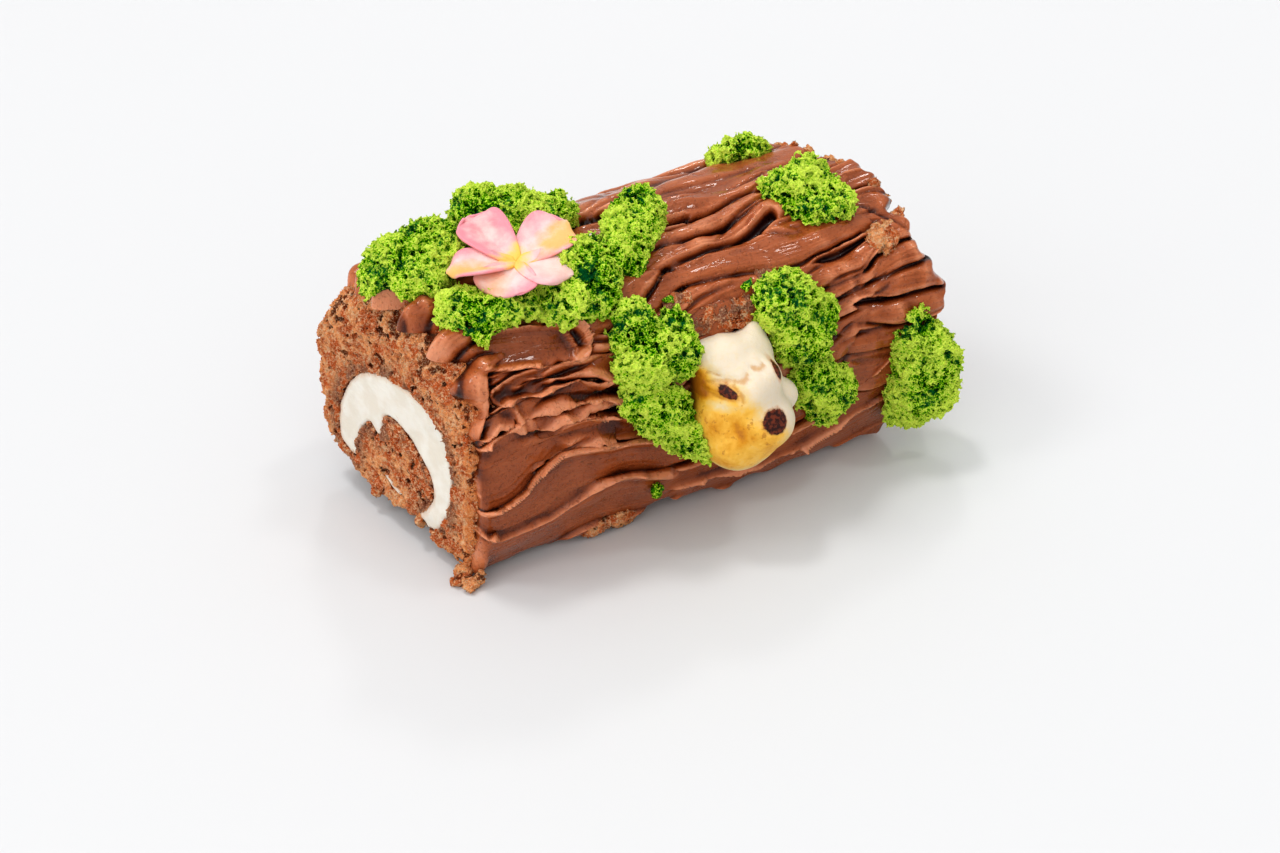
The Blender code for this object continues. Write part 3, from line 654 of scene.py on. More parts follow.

# %% Ribbons listed one by one
# tongues by the cut, then the crown and the shoulder towards the far end: path, bulge, lean
for number, (path, bulge, lean) in enumerate([
    ([(-56, 102, 4), (-64, 102.5, 9), (-72, 100.5, 10.5), (-80, 99, 10)], 2.4, 0.0),
    ([(-50, 86, 5), (-62, 87.5, 10), (-70, 86, 13), (-79, 84.5, 14)], 2.8, 0.3),
    ([(-4, 128, 8), (14, 119, 17), (34, 119, 20), (52, 121, 15), (66, 124, 8)], 2.0, -0.7),
    ([(10, 138, 3), (30, 137, 8), (50, 136, 9), (72, 137, 6)], 2.2, -0.6),
    ([(0, 108, 7), (14, 109, 13), (30, 110, 14), (46, 112, 9)], 1.6, -0.2),
    ([(-14, 84, 3), (-2, 87, 6), (10, 89, 8), (22, 91, 7), (34, 95, 3)], 2.4, -0.8),
    ([(-8, 92, 3), (6, 94, 7), (20, 97.5, 9), (34, 100, 8), (46, 100, 3)], 3.0, -1.0),
    ([(14, 85, 2), (24, 91, 6), (34, 93.5, 8), (48, 96, 8), (62, 99, 5)], 2.6, -0.8),
    ([(-4, 80, 4), (16, 81, 10), (38, 82, 12), (54, 83.5, 10), (66, 82, 5)], 3.0, -1.1),
    ([(34, 69, 3), (44, 69, 8), (54, 70, 8), (62, 73, 5)], 2.6, -0.7),
    ([(38, 63, 3), (48, 64, 7), (56, 65, 6), (62, 69, 3)], 2.6, -0.8),
    ([(58, 60, 4), (68, 60, 9), (78, 60, 10), (86, 58, 6)], 2.8, -0.9),
    ([(54, 64, 2), (62, 66, 7), (72, 68, 9), (80, 70, 6)], 2.6, -0.8),
    ([(40, 57, 3), (50, 58, 7), (58, 60, 5), (64, 62, 3)], 2.4, -0.6),
    ([(56, 52, 3), (66, 51, 8), (76, 51, 9), (86, 51.5, 6)], 2.8, -0.8),
    ([(44, 44, 4), (56, 42, 9), (66, 41, 10), (78, 43, 6)], 2.0, -0.6),
    ([(28, 34, 4), (42, 36, 10), (58, 33, 12), (72, 34, 8)], 1.8, -0.5),
    ([(62, 90, 3), (68, 87, 7), (74, 82, 8), (78, 76, 5)], 2.0, 0.0),
    ([(-75, 52, 3), (-73, 60, 6.5), (-69.5, 68, 8), (-66, 73.5, 6), (-60, 75, 2)], 2.2, -0.9),
]):
    ribbon(path, bulge, lean, number)
relief_span("ribbons")

# %% Flaps and slits
# standing flaps behind the cut: path, then the same seven numbers as for the broad pulls
for number, (path, shape) in enumerate([
    ([(-74, 48, 1.0), (-71, 53, 1.4), (-66, 56, 1.6), (-61, 53.5, 1.4), (-57, 51.5, 1.0)],
     (-0.9, 0.2, 0.5, 0.1, 0.9, 0, 0.2)),
    ([(-61, 59, 0.8), (-59, 56, 1.2), (-58.5, 52.5, 1.0)], (-1.0, 0.2, 0.4, 0.3, 0.9, 0, 0.2)),
    ([(-38.5, 78, 0.8), (-37, 75, 1.2), (-36.5, 71, 1.0)], (-0.9, 0.2, 0.5, 0.3, 0.9, 0, 0.2)),
]):
    pull(path, *shape, 40 + number)

# deep slits where two pulls never met: path, depth
for slit, depth in [
    ([(-50, 62.8, 1.2), (-39, 62, 2.8), (-28, 60.6, 1.8)], 3.8),
    ([(-41, 51.2, 1.2), (-33, 50, 3.6), (-25, 48, 2.4)], 4.2),
    ([(-57, 36, 0.8), (-54, 37, 1.8), (-51.5, 37.8, 0.8)], 2.0),
    ([(0, 102.5, 2.0), (8, 102, 3.2), (15, 103, 0.8)], 3.6),
    ([(20, 86.5, 0.8), (28, 88, 3.0), (37, 91, 3.4)], 3.0),
    ([(38, 74, 1.2), (49, 75, 3.2), (60, 77, 1.6)], 3.0),
    ([(50, 57.5, 1.2), (56, 56.5, 3.4), (64, 55, 1.4)], 3.6),
    ([(54, 66, 0.8), (58, 68, 1.8), (62, 71, 0.8)], 2.4),
    ([(-30, 56, 1.0), (-20, 55, 2.4), (-12, 54, 1.2)], 3.2),
    ([(-61, 57, 0.8), (-59.8, 55, 1.8), (-60, 53, 1.0)], 3.0),
    ([(70, 46, 1.0), (76, 46, 2.4), (82, 47, 1.4)], 2.6),
]:
    pull(slit, 0.8 * depth, 0.0, 0.55, 0.0, 1.0, 0, 0.35, 60 + int(depth * 10))
relief_span("slits")

# %% [markdown]
# The coat is about four millimetres thick, so each of its free edges turns
# over in a rounded nose and dives into the sponge. On the crown the edge
# also sags over the crumbled rim of the cut. The far side has fewer points,
# so its relief is smoothed a little first.

# %% Coat mesh
NOSE, HEM_NOSE, TONGUE_NOSE, BURIED = 3.0, 2.0, 2.4, 5.2
FAR_SIDE = (108, 132)
SAG, SAG_REACH, CROWN_DIVE, LOWEST = 1.8, 12, 2.0, 0.12


def quarter(distance, nose):
    """How far the surface has dropped at a distance from a free edge, 1 at the edge itself."""
    q = np.clip(distance / nose, 0, 1)
    return 1 - np.sqrt(1 - (1 - q) ** 2)


def blurred(field, steps):
    for _ in range(steps):
        rows = np.roll(field, 1, 0) + np.roll(field, -1, 0)
        field = (rows + np.roll(field, 1, 1) + np.roll(field, -1, 1) + field) / 5
    return field


coarse = ease(girth, *FAR_SIDE)
height += (blurred(height, 3) - height) * coarse
slide_along += (blurred(slide_along, 3) - slide_along) * coarse
slide_girth += (blurred(slide_girth, 3) - slide_girth) * coarse
from_start, from_end = along - start, end - along
sag = crown * SAG * np.clip(1 - from_start / SAG_REACH, 0, 1) ** 2
settle = ease(np.minimum(from_start, from_end), 0, 2.5)
lift = height * (0.35 + 0.65 * settle) - sag
nose_front = NOSE + TONGUE_NOSE * crown
dive = (BURIED + CROWN_DIVE * crown + lift) * quarter(from_start, nose_front)
dive += (BURIED + lift) * quarter(from_end, NOSE)
near_foot = quarter(girth - hem[:, None], HEM_NOSE)
far_foot = quarter(GIRTH - far_hem[:, None] - girth, HEM_NOSE)
dive += (BURIED + lift) * np.maximum(near_foot, far_foot)
lift = lift - np.minimum(dive, BURIED + CROWN_DIVE * crown + lift)
calm = settle * ease(girth, 2, 6) * ease(GIRTH - girth, 2, 6)
slid = np.clip(girth + slide_girth * calm, 0.05, GIRTH - 0.05)
final_across, final_up, normal_across, normal_up = section(slid)
points = np.stack([
    along + slide_along * calm,
    final_across + lift * normal_across,
    np.maximum(final_up + lift * normal_up, LOWEST),
], -1).reshape(-1, 3)
relief = height - blurred(height, 40)
print("coat reaches", [round(float(reach), 1) for reach in (*points.min(0), *points.max(0))], "mm")

# %% [markdown]
# Milk chocolate frosting is a soft gloss over a warm brown. Thin crests let
# some light through and get a painted highlight, the troughs get painted
# shade, and the knife leaves fine lines and a few pin holes. The relief measured
# on the mesh drives this painted light and shade, so the colour follows the pulls.

# %% Frosting finish
frosting = Finish(
    "chocolate_frosting", 0.12, 0.12, (1.0, 0.45, 0.25), 1.8,
    IOR=1.46, Coat_Weight=0.85, Coat_Roughness=0.09, Coat_IOR=1.38,
)
start_flow = frosting.start
relief_flow = start_flow.measured("relief")
tone = start_flow.speckle(9, 3)
fine = start_flow.speckle(0.8, 4)
# Painted highlight on the crests and painted shade in the troughs, from the measured relief, over a random
# tone.
relief_shade_and_tone = relief_flow * 0.42 + 0.54 + (tone - 0.5) * 0.30 + (fine - 0.5) * 0.12
frosting.feed("Base Color", relief_shade_and_tone.ramp(
    (0.0, (0.020, 0.002, 0.001)), (0.26, (0.10, 0.017, 0.003)), (0.48, (0.28, 0.066, 0.016)),
    (0.70, (0.41, 0.112, 0.035)), (1.0, (0.72, 0.28, 0.14)),
))
frosting.feed("Roughness", (0.32 + (fine - 0.5) * 0.30 + (tone - 0.5) * 0.6).clamped())
along_flow, girth_flow = start_flow.measured("along"), start_flow.measured("girth")
knife_place = start_flow.node("ShaderNodeCombineXYZ", sockets={0: along_flow * 0.12, 1: girth_flow, 2: 0.0})
knife_lines = start_flow.node(
    "ShaderNodeTexNoise", {"noise_dimensions": "3D"}, {"Vector": knife_place, "Scale": 1.6, "Detail": 3.0},
)
pits = 1 - start_flow.speckle(1.9, 1.5).between(0.27, 0.37)
pores = 1 - start_flow.speckle(0.9, 1.0).between(0.30, 0.40)
frosting.bumpy(knife_lines * 0.4 + fine * 0.2 - pits * 0.5 - pores * 0.35, 0.55)
print("frosting finish:", len(frosting.tree.nodes), "nodes")

# %% [markdown]
# The sheet is laid in two halves that share one row of points. The half on
# the bear's side, which is seen closest, has the finer rows. Both take their
# shading from the whole sheet, so that no seam shows where they meet.

# %% Frosting halves
half_way = int(GIRTH_POINTS * FINE_SHARE)
surface = points.reshape(*along.shape, 3)
facing = np.cross(np.gradient(surface, axis=1), np.gradient(surface, axis=0))
facing /= np.linalg.norm(facing, axis=-1, keepdims=True) + 1e-9
halves = {"frosting_bear_side": slice(0, half_way + 1), "frosting_far_side": slice(half_way, None)}
for name, half in halves.items():
    told = {"relief": relief[:, half], "along": along[:, half], "girth": girth[:, half]}
    coat = skin(
        name, surface[:, half].reshape(-1, 3), sheet_faces(*told["along"].shape), frosting,
        **{key: values.ravel() for key, values in told.items()},
    )
    coat.data.normals_split_custom_set_from_vertices(facing[:, half].reshape(-1, 3).tolist())
    place(coat, ["chocolate_frosting"], "chocolate_frosting")

# %% [markdown]
# ## Crumb
#
# Sponge is a foam: a torn face shows bubbles of every size and spiky walls
# between them. A height map can't make that, so the crumb is grown as a
# solid field of distances, negative inside, on a fine grid. Bubbles are
# pricked into it one by one, noise roughens it, and a skin is drawn where
# the field is zero.

# %% Crumb helpers
QUICK_GRAIN = 1.0
BUBBLE_MARGIN, OUTLINE_STEPS = 0.35, 6


class Block:
    """A field of distances over a box, in millimetres, negative inside."""

    def __init__(self, low, high, step):
        self.low, self.step = np.array(low, float), step * QUICK_GRAIN
        self.shape = tuple(int((b - a) / self.step) + 2 for a, b in zip(low, high))
        axes = [(a + np.arange(n) * self.step).astype(np.float32) for a, n in zip(low, self.shape)]
        self.x, self.y, self.z = np.meshgrid(*axes, indexing="ij", sparse=True)
        self.field = np.full(self.shape, 5.0, np.float32)

    def face(self):
        """The across and up of one sheet of samples."""
        return self.y[0, :, 0][:, None], self.z[0, 0, :][None, :]

    def rough(self, size, seed):
        """Noise whose lumps are about this many millimetres across."""
        return cloud(self.shape, (size / self.step,) * 3, seed)

    def walls(self, size, seed):
        """Noise that is low along thin wandering walls and high in the pits between them."""
        return 2.2 * np.abs(self.rough(size, seed)) - 0.8

    def prick(self, centres, radii):
        """Empty a round bubble at each centre."""
        for centre, radius in zip(centres, radii):
            reach = radius + BUBBLE_MARGIN + self.step
            a = np.maximum(((centre - self.low - reach) / self.step).astype(int), 0)
            b = np.minimum(((centre - self.low + reach) / self.step).astype(int) + 2, self.shape)
            if (b <= a).any():
                continue
            here = tuple(slice(i, j) for i, j in zip(a, b))
            gap = np.sqrt(
                (self.x[here[0]] - centre[0]) ** 2 + (self.y[:, here[1]] - centre[1]) ** 2
                + (self.z[:, :, here[2]] - centre[2]) ** 2
            )
            self.field[here] = np.maximum(self.field[here], radius - gap)

    def surface(self):
        """Points and quads where the field is zero."""
        framed = np.pad(self.field, 1, constant_values=2.0)
        grid = openvdb.FloatGrid(2.0)
        grid.copyFromArray(framed)
        points, quads = grid.convertToQuads(0.0)
        return self.low + (points - 1) * self.step, quads[:, ::-1].astype(np.int64)

    def sample(self, field, points):
        """Values of a field of this block at points, nearest sample."""
        index = np.clip(((points - self.low) / self.step + 0.5).astype(int), 0, np.array(self.shape) - 1)
        return np.broadcast_to(field, self.shape)[index[:, 0], index[:, 1], index[:, 2]]


def keep_attached(points, quads, least=400):
    """Drop crumbs that bubbles have cut loose from the rest."""
    label = np.arange(len(points))
    edges = np.concatenate([quads[:, [0, 1]], quads[:, [1, 2]], quads[:, [2, 3]]])
    for _ in range(60):
        low = np.minimum(label[edges[:, 0]], label[edges[:, 1]])
        np.minimum.at(label, edges[:, 0], low)
        np.minimum.at(label, edges[:, 1], low)
        jumped = label[label]
        if (jumped == label).all() and (label[edges[:, 0]] == label[edges[:, 1]]).all():
            break
        label = jumped
    size = np.bincount(label, minlength=len(points))
    keep = size[label] >= least
    renumber = np.cumsum(keep) - 1
    return points[keep], renumber[quads[keep[quads[:, 0]]]]


def trimmed(points, quads, hidden):
    """Leave out the quads whose corners all lie where nothing can be seen."""
    quads = quads[~hidden[quads].all(1)]
    used = np.zeros(len(points), bool)
    used[quads.ravel()] = True
    return points[used], (np.cumsum(used) - 1)[quads]


def smoother(first, second, soft):
    """Soft union of two fields."""
    share = np.clip(0.5 + 0.5 * (second - first) / soft, 0, 1)
    return second + (first - second) * share - soft * share * (1 - share)


def polygon_distance(y, z, corners):
    """Signed distance, negative inside, from a closed outline of (across, up) corners."""
    y, z = np.broadcast_arrays(y, z)
    nearest, inside = np.full(y.shape, 1e9), np.zeros(y.shape, bool)
    for (ay, az), (by, bz) in zip(corners, np.roll(corners, -1, 0)):
        ey, ez = by - ay, bz - az
        q = np.clip(((y - ay) * ey + (z - az) * ez) / (ey * ey + ez * ez + 1e-9), 0, 1)
        nearest = np.minimum(nearest, (y - ay - q * ey) ** 2 + (z - az - q * ez) ** 2)
        crosses = ((az > z) != (bz > z)) & (y < (by - ay) * (z - az) / (bz - az + 1e-9) + ay)
        inside ^= crosses
    return np.where(inside, -1, 1) * np.sqrt(nearest)


def rounded_outline(corners):
    """Smooth closed curve through the corners."""
    p = np.array(corners, float)
    before, after, later = np.roll(p, 1, 0), np.roll(p, -1, 0), np.roll(p, -2, 0)
    made = []
    for t in np.arange(OUTLINE_STEPS) / OUTLINE_STEPS:
        made.append(0.5 * (
            2 * p + (after - before) * t + (2 * before - 5 * p + 4 * after - later) * t**2
            + (3 * p - before - 3 * after + later) * t**3
        ))
    return np.stack(made, 1).reshape(-1, 2)


print("crumb helpers ready")

# %% [markdown]
# ## The rolled sponge and its cream
#
# The sheet of sponge is rolled round vanilla cream, so a cut shows the cream
# as a C round the core and a sliver inside it. Both cuts are made the same
# way, on a grid that leans with the cut: the first axis is the depth behind
# the face. At the shown cut the top rim has crumbled round and the bottom
# turn has broken away.

# %% Sponge ends
COAT = 4.3
CREAM_OUTLINE = [
    (-19, 9), (-26, 19), (-28.5, 32), (-26, 45), (-18, 52), (-4, 53.5), (10, 50), (21, 41),
    (27, 29), (28, 17), (20.5, 14), (18, 23), (12, 31), (6.5, 29), (3, 38), (-5, 38), (-15, 32),
    (-19.5, 24), (-16, 15), (-11, 9),
]
CREAM_SLIVER = [(7, 16), (1, 12), (-3, 12.5), (2, 15)]
BREAK_OUTLINE = [(60, 24), (27, 11), (12, 6), (-6, 7), (-14, 9), (-19, 2), (-20, -5), (60, -5)]
HIDDEN_FROM, CRUMB_JITTER, BUBBLES = 5, 0.16, 900


def section_fields(block):
    """Distance from the log's skin, the cream, the sliver and the broken base on the section."""
    y, z = block.face()
    line = np.stack([SECTION_ACROSS, SECTION_UP], 1)[::8]
    skin_distance = polygon_distance(y, z, line)
    cream = polygon_distance(y, z, rounded_outline(CREAM_OUTLINE))
    sliver = polygon_distance(y, z, rounded_outline(CREAM_SLIVER))
    broken = polygon_distance(y, z, np.array(BREAK_OUTLINE, float))
    return [f[None].astype(np.float32) for f in (skin_distance, cream, sliver, broken)]


def round_meet(first, second, radius):
    """Two fields cut to what both hold, with the edge between them rounded."""
    a, b = first + radius, second + radius
    return np.minimum(np.maximum(a, b), 0) + np.hypot(np.maximum(a, 0), np.maximum(b, 0)) - radius


def sponge_end(plane, way, edge, back_edge, depth, break_depth, grain, seed):
    """Crumb of one cut: points in place, quads, and what its colour follows."""
    block = Block((-3, -HALF_WIDTH, -0.5), (depth, HALF_WIDTH, 81), grain)
    skin_distance, cream, sliver, broken = section_fields(block)
    behind = block.x
    height_share = np.clip((block.z - 50) / 25, 0, 1)
    far_side = np.clip(block.y / 40, 0, 1) * np.clip(block.z / 30, 0, 1)
    radius = 0.8 + edge * height_share + back_edge * far_side * (1 - height_share)
    body = round_meet(skin_distance + COAT, -behind, radius)
    whole = body.copy()
    mid = block.rough(4.5, seed)
    small = block.walls(1.7, seed + 1)
    tiny = block.walls(0.95, seed + 2)
    ragged = 0.6 + 0.8 * height_share + 0.4 * far_side
    body = body + ragged * (1.1 * mid + 1.0 * small) + 0.95 * tiny
    body = body + 1.6 * height_share * block.rough(7, seed + 3)
    rng = np.random.default_rng(seed)
    centres = np.stack([
        rng.uniform(-0.6, 2.2, BUBBLES) + rng.exponential(0.8, BUBBLES),
        rng.uniform(-39, 39, BUBBLES), rng.uniform(0, 79, BUBBLES),
    ], 1)
    at = block.sample(body, centres)
    centres[:, 0] += np.clip(at, 0, 9)
    block.field = body
    block.prick(centres, 0.45 + rng.exponential(0.33, BUBBLES).clip(0, 1.1))
    hole = np.minimum(cream, sliver) + 0.25 * block.rough(3, seed + 5)[:1]
    block.field = np.maximum(block.field, -hole)
    gone = np.maximum(broken + 1.4 * small + 0.6 * tiny, behind - break_depth - 1.5 * mid - 1.2 * small)
    block.field = np.maximum(block.field, -gone)
    block.field = np.maximum(block.field, behind - depth + 1)
    points, quads = block.surface()
    points, quads = keep_attached(points, quads)
    hidden = (block.sample(skin_distance, points) > -COAT - 1.2) & (points[:, 0] > HIDDEN_FROM + edge)
    hidden |= points[:, 0] > depth - 2.5
    points, quads = trimmed(points, quads, hidden)
    told = {
        "deep": -block.sample(whole, points),
        "rim": block.sample(skin_distance, points) + COAT,
        "cream_gap": block.sample(cream, points),
    }
    points = points + rng.normal(0, CRUMB_JITTER, points.shape)
    y, z = points[:, 1], points[:, 2]
    told["deep"] = np.minimum(told["deep"], points[:, 0])
    placed = np.stack([plane(y, z) + way * points[:, 0], y, z], 1)
    if way < 0:
        quads = quads[:, ::-1]
    return placed, quads, told


print("cream outline:", len(CREAM_OUTLINE), "corners,", len(rounded_outline(CREAM_OUTLINE)), "when rounded")

# %% [markdown]
# Baked cocoa sponge is reddish brown. It is lighter and more orange where
# it is torn or baked at the rim, and purplish where the roll has pressed it
# flat. Painted shade darkens it inside its bubbles.

# %% Sponge finish
sponge = Finish("chocolate_sponge", 0.05, 0.1, (1.0, 0.45, 0.25))
s = sponge.start
deep, rim_gap, cream_gap = s.measured("deep"), s.measured("rim"), s.measured("cream_gap")
patchy, grainy, dusty = s.speckle(6, 2), s.speckle(1.3, 4, rough=0.65), s.speckle(0.5, 3)
base = s.tint(patchy.between(0.42, 0.58), (0.66, 0.155, 0.042), (1.0, 0.43, 0.18))
base = s.tint(grainy.between(0.50, 0.60) * 0.85, base, (1.0, 0.62, 0.36))
torn_rim = rim_gap.between(-3.4, -0.6) * patchy.between(0.36, 0.6)
base = s.tint(torn_rim * 0.7, base, (0.84, 0.27, 0.07))
pressed = (1 - cream_gap.between(1.0, 7.0)) * cream_gap.between(-0.5, 0.6) * patchy.between(0.44, 0.54)
base = s.tint(pressed * 0.75, base, (0.20, 0.06, 0.05))
# Painted shade inside the bubbles and deep pits of the crumb.
painted_bubble_shade = (deep * 0.5 + 0.46 - grainy).between(-0.05, 0.14)
base = s.tint(painted_bubble_shade * 0.85, base, (0.13, 0.018, 0.003))
base = s.tint(dusty.between(0.54, 0.64) * 0.6, base, (1.0, 0.68, 0.44))
sponge.feed("Base Color", base)
sponge.feed("Roughness", (0.72 + (grainy - 0.5) * 0.4).clamped())
sponge.bumpy(grainy * 1.8 + dusty * 1.6, 0.9)
print("sponge finish:", len(sponge.tree.nodes), "nodes")

# %% Sponge mesh
NOT_BROKEN = -50
front = sponge_end(cut_plane, 1, edge=12, back_edge=4, depth=17, break_depth=12.5, grain=0.50, seed=21)
rear = sponge_end(far_plane, -1, edge=2.5, back_edge=2, depth=9, break_depth=NOT_BROKEN, grain=0.9, seed=31)


def under_body():
    """The plain length of sponge under the coat, between the two crumbly ends."""
    rows, columns = 30, 140
    share = np.linspace(0, 1, rows)[:, None]
    girths = np.linspace(0, GIRTH, columns)[None]
    y, z, ny, nz = section(girths * np.ones((rows, 1)))
    inset = COAT + 0.6 + 0.35 * cloud((rows, columns), (3, 3), 41)
    y, z = y - inset * ny, np.maximum(z - inset * nz, 0.05)
    x0, x1 = cut_plane(y, z) + 13.5, far_plane(y, z) - 6
    grid = np.stack([x0 + (x1 - x0) * share, y, z], -1).reshape(-1, 3)
    faces = sheet_faces(rows, columns)
    first, last = np.arange(rows - 1) * columns, np.arange(rows - 1) * columns + columns - 1
    underside = np.stack([first, first + columns, last + columns, last], 1)
    return grid, np.concatenate([faces, underside])


body_points, body_quads = under_body()
PLAIN_BODY = {"deep": 0.2, "rim": -2.0, "cream_gap": 9.0}
middle_told = {key: np.full(len(body_points), value) for key, value in PLAIN_BODY.items()}
middle = (body_points, body_quads, middle_told)
sponge_parts = {"cut_sponge": front, "end_sponge": rear, "middle_sponge": middle}
for name, (part_points, part_quads, told) in sponge_parts.items():
    place(skin(name, part_points, part_quads, sponge, False, **told), ["sponge_roll"], "chocolate_sponge")

# %% [markdown]
# Whipped cream keeps a smooth face where the knife passed, with faint
# scratches and a few pin holes, and its border is ragged where crumbs have
# dug in. It is made with the same kind of field, only finer and quieter.

# %% Cream finish
cream_finish = Finish("vanilla_cream", 0.45, 0.25, (1.0, 0.8, 0.6))
c = cream_finish.start
soft_tone, crumbs_in, lace = c.speckle(6, 2), c.speckle(1.5, 3), c.speckle(0.5, 3)
from_edge = c.measured("from_edge")
ivory = c.tint(soft_tone.between(0.35, 0.65), (0.74, 0.68, 0.58), (0.80, 0.76, 0.68))
stained = (1 - from_edge.between(0.0, 1.6)) * 0.55
stained = stained + crumbs_in.between(0.62, 0.72) * (1 - from_edge.between(0.5, 4.0))
ivory = c.tint(stained.clamped() * 0.8, ivory, (0.66, 0.42, 0.27))
ivory = c.tint(lace.between(0.68, 0.76) * 0.4, ivory, (0.62, 0.42, 0.28))
cream_finish.feed("Base Color", ivory)
cream_finish.feed("Roughness", (0.5 + (lace - 0.5) * 0.3).clamped())
scratch_place = c.node("ShaderNodeMapping", sockets={
    "Vector": c.node("ShaderNodeTexCoord", output="Object"), "Rotation": (0.5, 0, 0), "Scale": (1, 0.15, 1),
})
scratches = c.speckle(0.7, 3, scratch_place)
cream_finish.bumpy(scratches * 0.6 + lace * 0.3, 0.35)
print("cream finish:", len(cream_finish.tree.nodes), "nodes")


# %% Cream meshes
def cream_piece(name, outline, node, seed):
    """Both visible ends of one band of cream."""
    made, edges_gap, offset = [], [], 0
    corners = rounded_outline(outline)
    low, high = corners.min(0) - 1.5, corners.max(0) + 1.5
    for plane, way, proud in ((cut_plane, 1, 0.15), (far_plane, -1, 0.1)):
        block = Block((-1.5, low[0], low[1]), (9, high[0], high[1]), 0.85)
        flat = polygon_distance(*block.face(), corners)[None]
        wave = 0.35 * block.rough(7, seed) + 0.22 * block.rough(2.4, seed + 1)
        block.field = np.maximum(flat + wave[:1] * 1.6, -(block.x + proud) + wave).astype(np.float32)
        if way > 0:
            broken = polygon_distance(*block.face(), np.array(BREAK_OUTLINE, float))
            block.field = np.maximum(block.field, -(broken[None] - 0.4 + wave))
        block.field = np.maximum(block.field, block.x - 8)
        points, quads = block.surface()
        y, z = points[:, 1], points[:, 2]
        edges_gap.append(-block.sample(flat, points))
        made.append((np.stack([plane(y, z) + way * points[:, 0], y, z], 1), quads[:, ::way] + offset))
        offset += len(points)
        seed += 2
    piece = skin(
        name, np.concatenate([p for p, _ in made]), np.concatenate([q for _, q in made]), cream_finish,
        from_edge=np.concatenate(edges_gap),
    )
    return place(piece, [node], "vanilla_cream")


cream_piece("cream_swirl", CREAM_OUTLINE, "cream_filling", 51)
cream_piece("cream_sliver", CREAM_SLIVER, "cream_core", 57)

# %% [markdown]
# ## Green moss sponge
#
# The moss is a very airy sponge, dyed green and torn by hand, so it has no
# flat face anywhere: ragged tufts, pits and a few round bubbles. Each
# packed lump is turned into a distance field, roughened at three sizes and
# pricked with bubbles. Hair particles would make grass, not foam.

# %% Moss finish
moss = Finish("moss_sponge", 0.02, 0.10, (0.6, 1.0, 0.15))
m = moss.start
moss_deep = m.measured("deep")
dye, tuft, speck = m.speckle(6.5, 2, rough=0.5), m.speckle(1.3, 3), m.speckle(0.55, 2)
# Painted light on the outer tips and painted shade down in the hollows, from the depth, over a random tone.
depth_shade_and_tone = moss_deep * 0.36 + 0.53 + (tuft - 0.5) * 2.5 + (speck - 0.5) * 3.3
green = depth_shade_and_tone.ramp(
    (0.0, (0.78, 1.0, 0.13)), (0.16, (0.40, 0.76, 0.004)), (0.40, (0.125, 0.44, 0.001)),
    (0.64, (0.026, 0.20, 0.003)), (1.0, (0.002, 0.036, 0.001)),
)
# Emerald dye patches, made stronger down in the hollows as painted shade.
emerald_dye_and_shade = dye.between(0.50, 0.56) * (moss_deep * 0.4 + 0.66 + (tuft - 0.5) * 3.4).clamped()
green = m.tint(emerald_dye_and_shade.clamped() * 0.9, green, (0.004, 0.150, 0.042))
moss.feed("Base Color", green)
moss.feed("Roughness", (0.75 + (speck - 0.5) * 0.3).clamped())
moss.bumpy(1 - tuft * 1.6 - speck * 1.8, 0.9)
print("moss finish:", len(moss.tree.nodes), "nodes")

# %% Moss lumps
MOSS_GRAIN, MOSS_MARGIN, DISTANCE_BAND = 0.56, 2.5, 12.0


def node_field(name, filled_out):
    """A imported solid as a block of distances, with its hollows filled out if asked."""
    low, high = (np.array(corner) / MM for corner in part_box(name))
    block = Block(low - MOSS_MARGIN, high + MOSS_MARGIN, MOSS_GRAIN)
    shape = bmesh.new()
    shape.from_mesh(frame["nodes"][name].data)
    if filled_out:
        hull = bmesh.ops.convex_hull(shape, input=shape.verts, use_existing_faces=False)
        outer = set(hull["geom"])
        bmesh.ops.delete(shape, geom=[f for f in shape.faces if f not in outer], context="FACES")
    mesh = bpy.data.meshes.new("lump")
    shape.to_mesh(mesh)
    shape.free()
    mesh.calc_loop_triangles()
    corners = np.zeros(len(mesh.vertices) * 3, np.float32)
    mesh.vertices.foreach_get("co", corners)
    triangles = np.zeros(len(mesh.loop_triangles) * 3, np.int32)
    mesh.loop_triangles.foreach_get("vertices", triangles)
    in_steps = (corners.reshape(-1, 3) / MM - block.low) / block.step
    level = openvdb.FloatGrid.createLevelSetFromPolygons(
        in_steps.astype(np.float32), triangles=triangles.reshape(-1, 3).astype(np.uint32),
        halfWidth=DISTANCE_BAND,
    )
    level.copyToArray(block.field, (0, 0, 0))
    block.field *= block.step
    return block


def torn(block, grow, coarse, middle, fine, holes, hole_size, seed, least=250):
    """Tear a block's smooth solid into crumb and skin it."""
    whole = block.whole = block.field - grow
    rng = np.random.default_rng(seed)
    rough = coarse * block.rough(4.5, seed) + middle * block.walls(1.8, seed + 1)
    rough = rough + fine * block.walls(0.95, seed + 2)
    block.field = whole + rough
    near = np.argwhere((block.field > -2.6) & (block.field < 0.5))
    chosen = near[rng.integers(0, len(near), int(len(near) * block.step**3 * holes))]
    centres = block.low + (chosen + rng.random(chosen.shape)) * block.step
    block.prick(centres, hole_size * (0.55 + rng.exponential(0.45, len(centres)).clip(0, 1.7)))
    points, quads = block.surface()
    points, quads = keep_attached(points, quads, least)
    return points + rng.normal(0, CRUMB_JITTER, points.shape), quads, -block.sample(whole, points)


def under_coat(points, depth):
    """True for points deeper than this under the log's skin."""
    inside = polygon_distance(points[:, 1], points[:, 2], np.stack([SECTION_ACROSS, SECTION_UP], 1)[::20])
    return (inside < -depth) & (points[:, 0] < far_plane(points[:, 1], points[:, 2]) - depth)


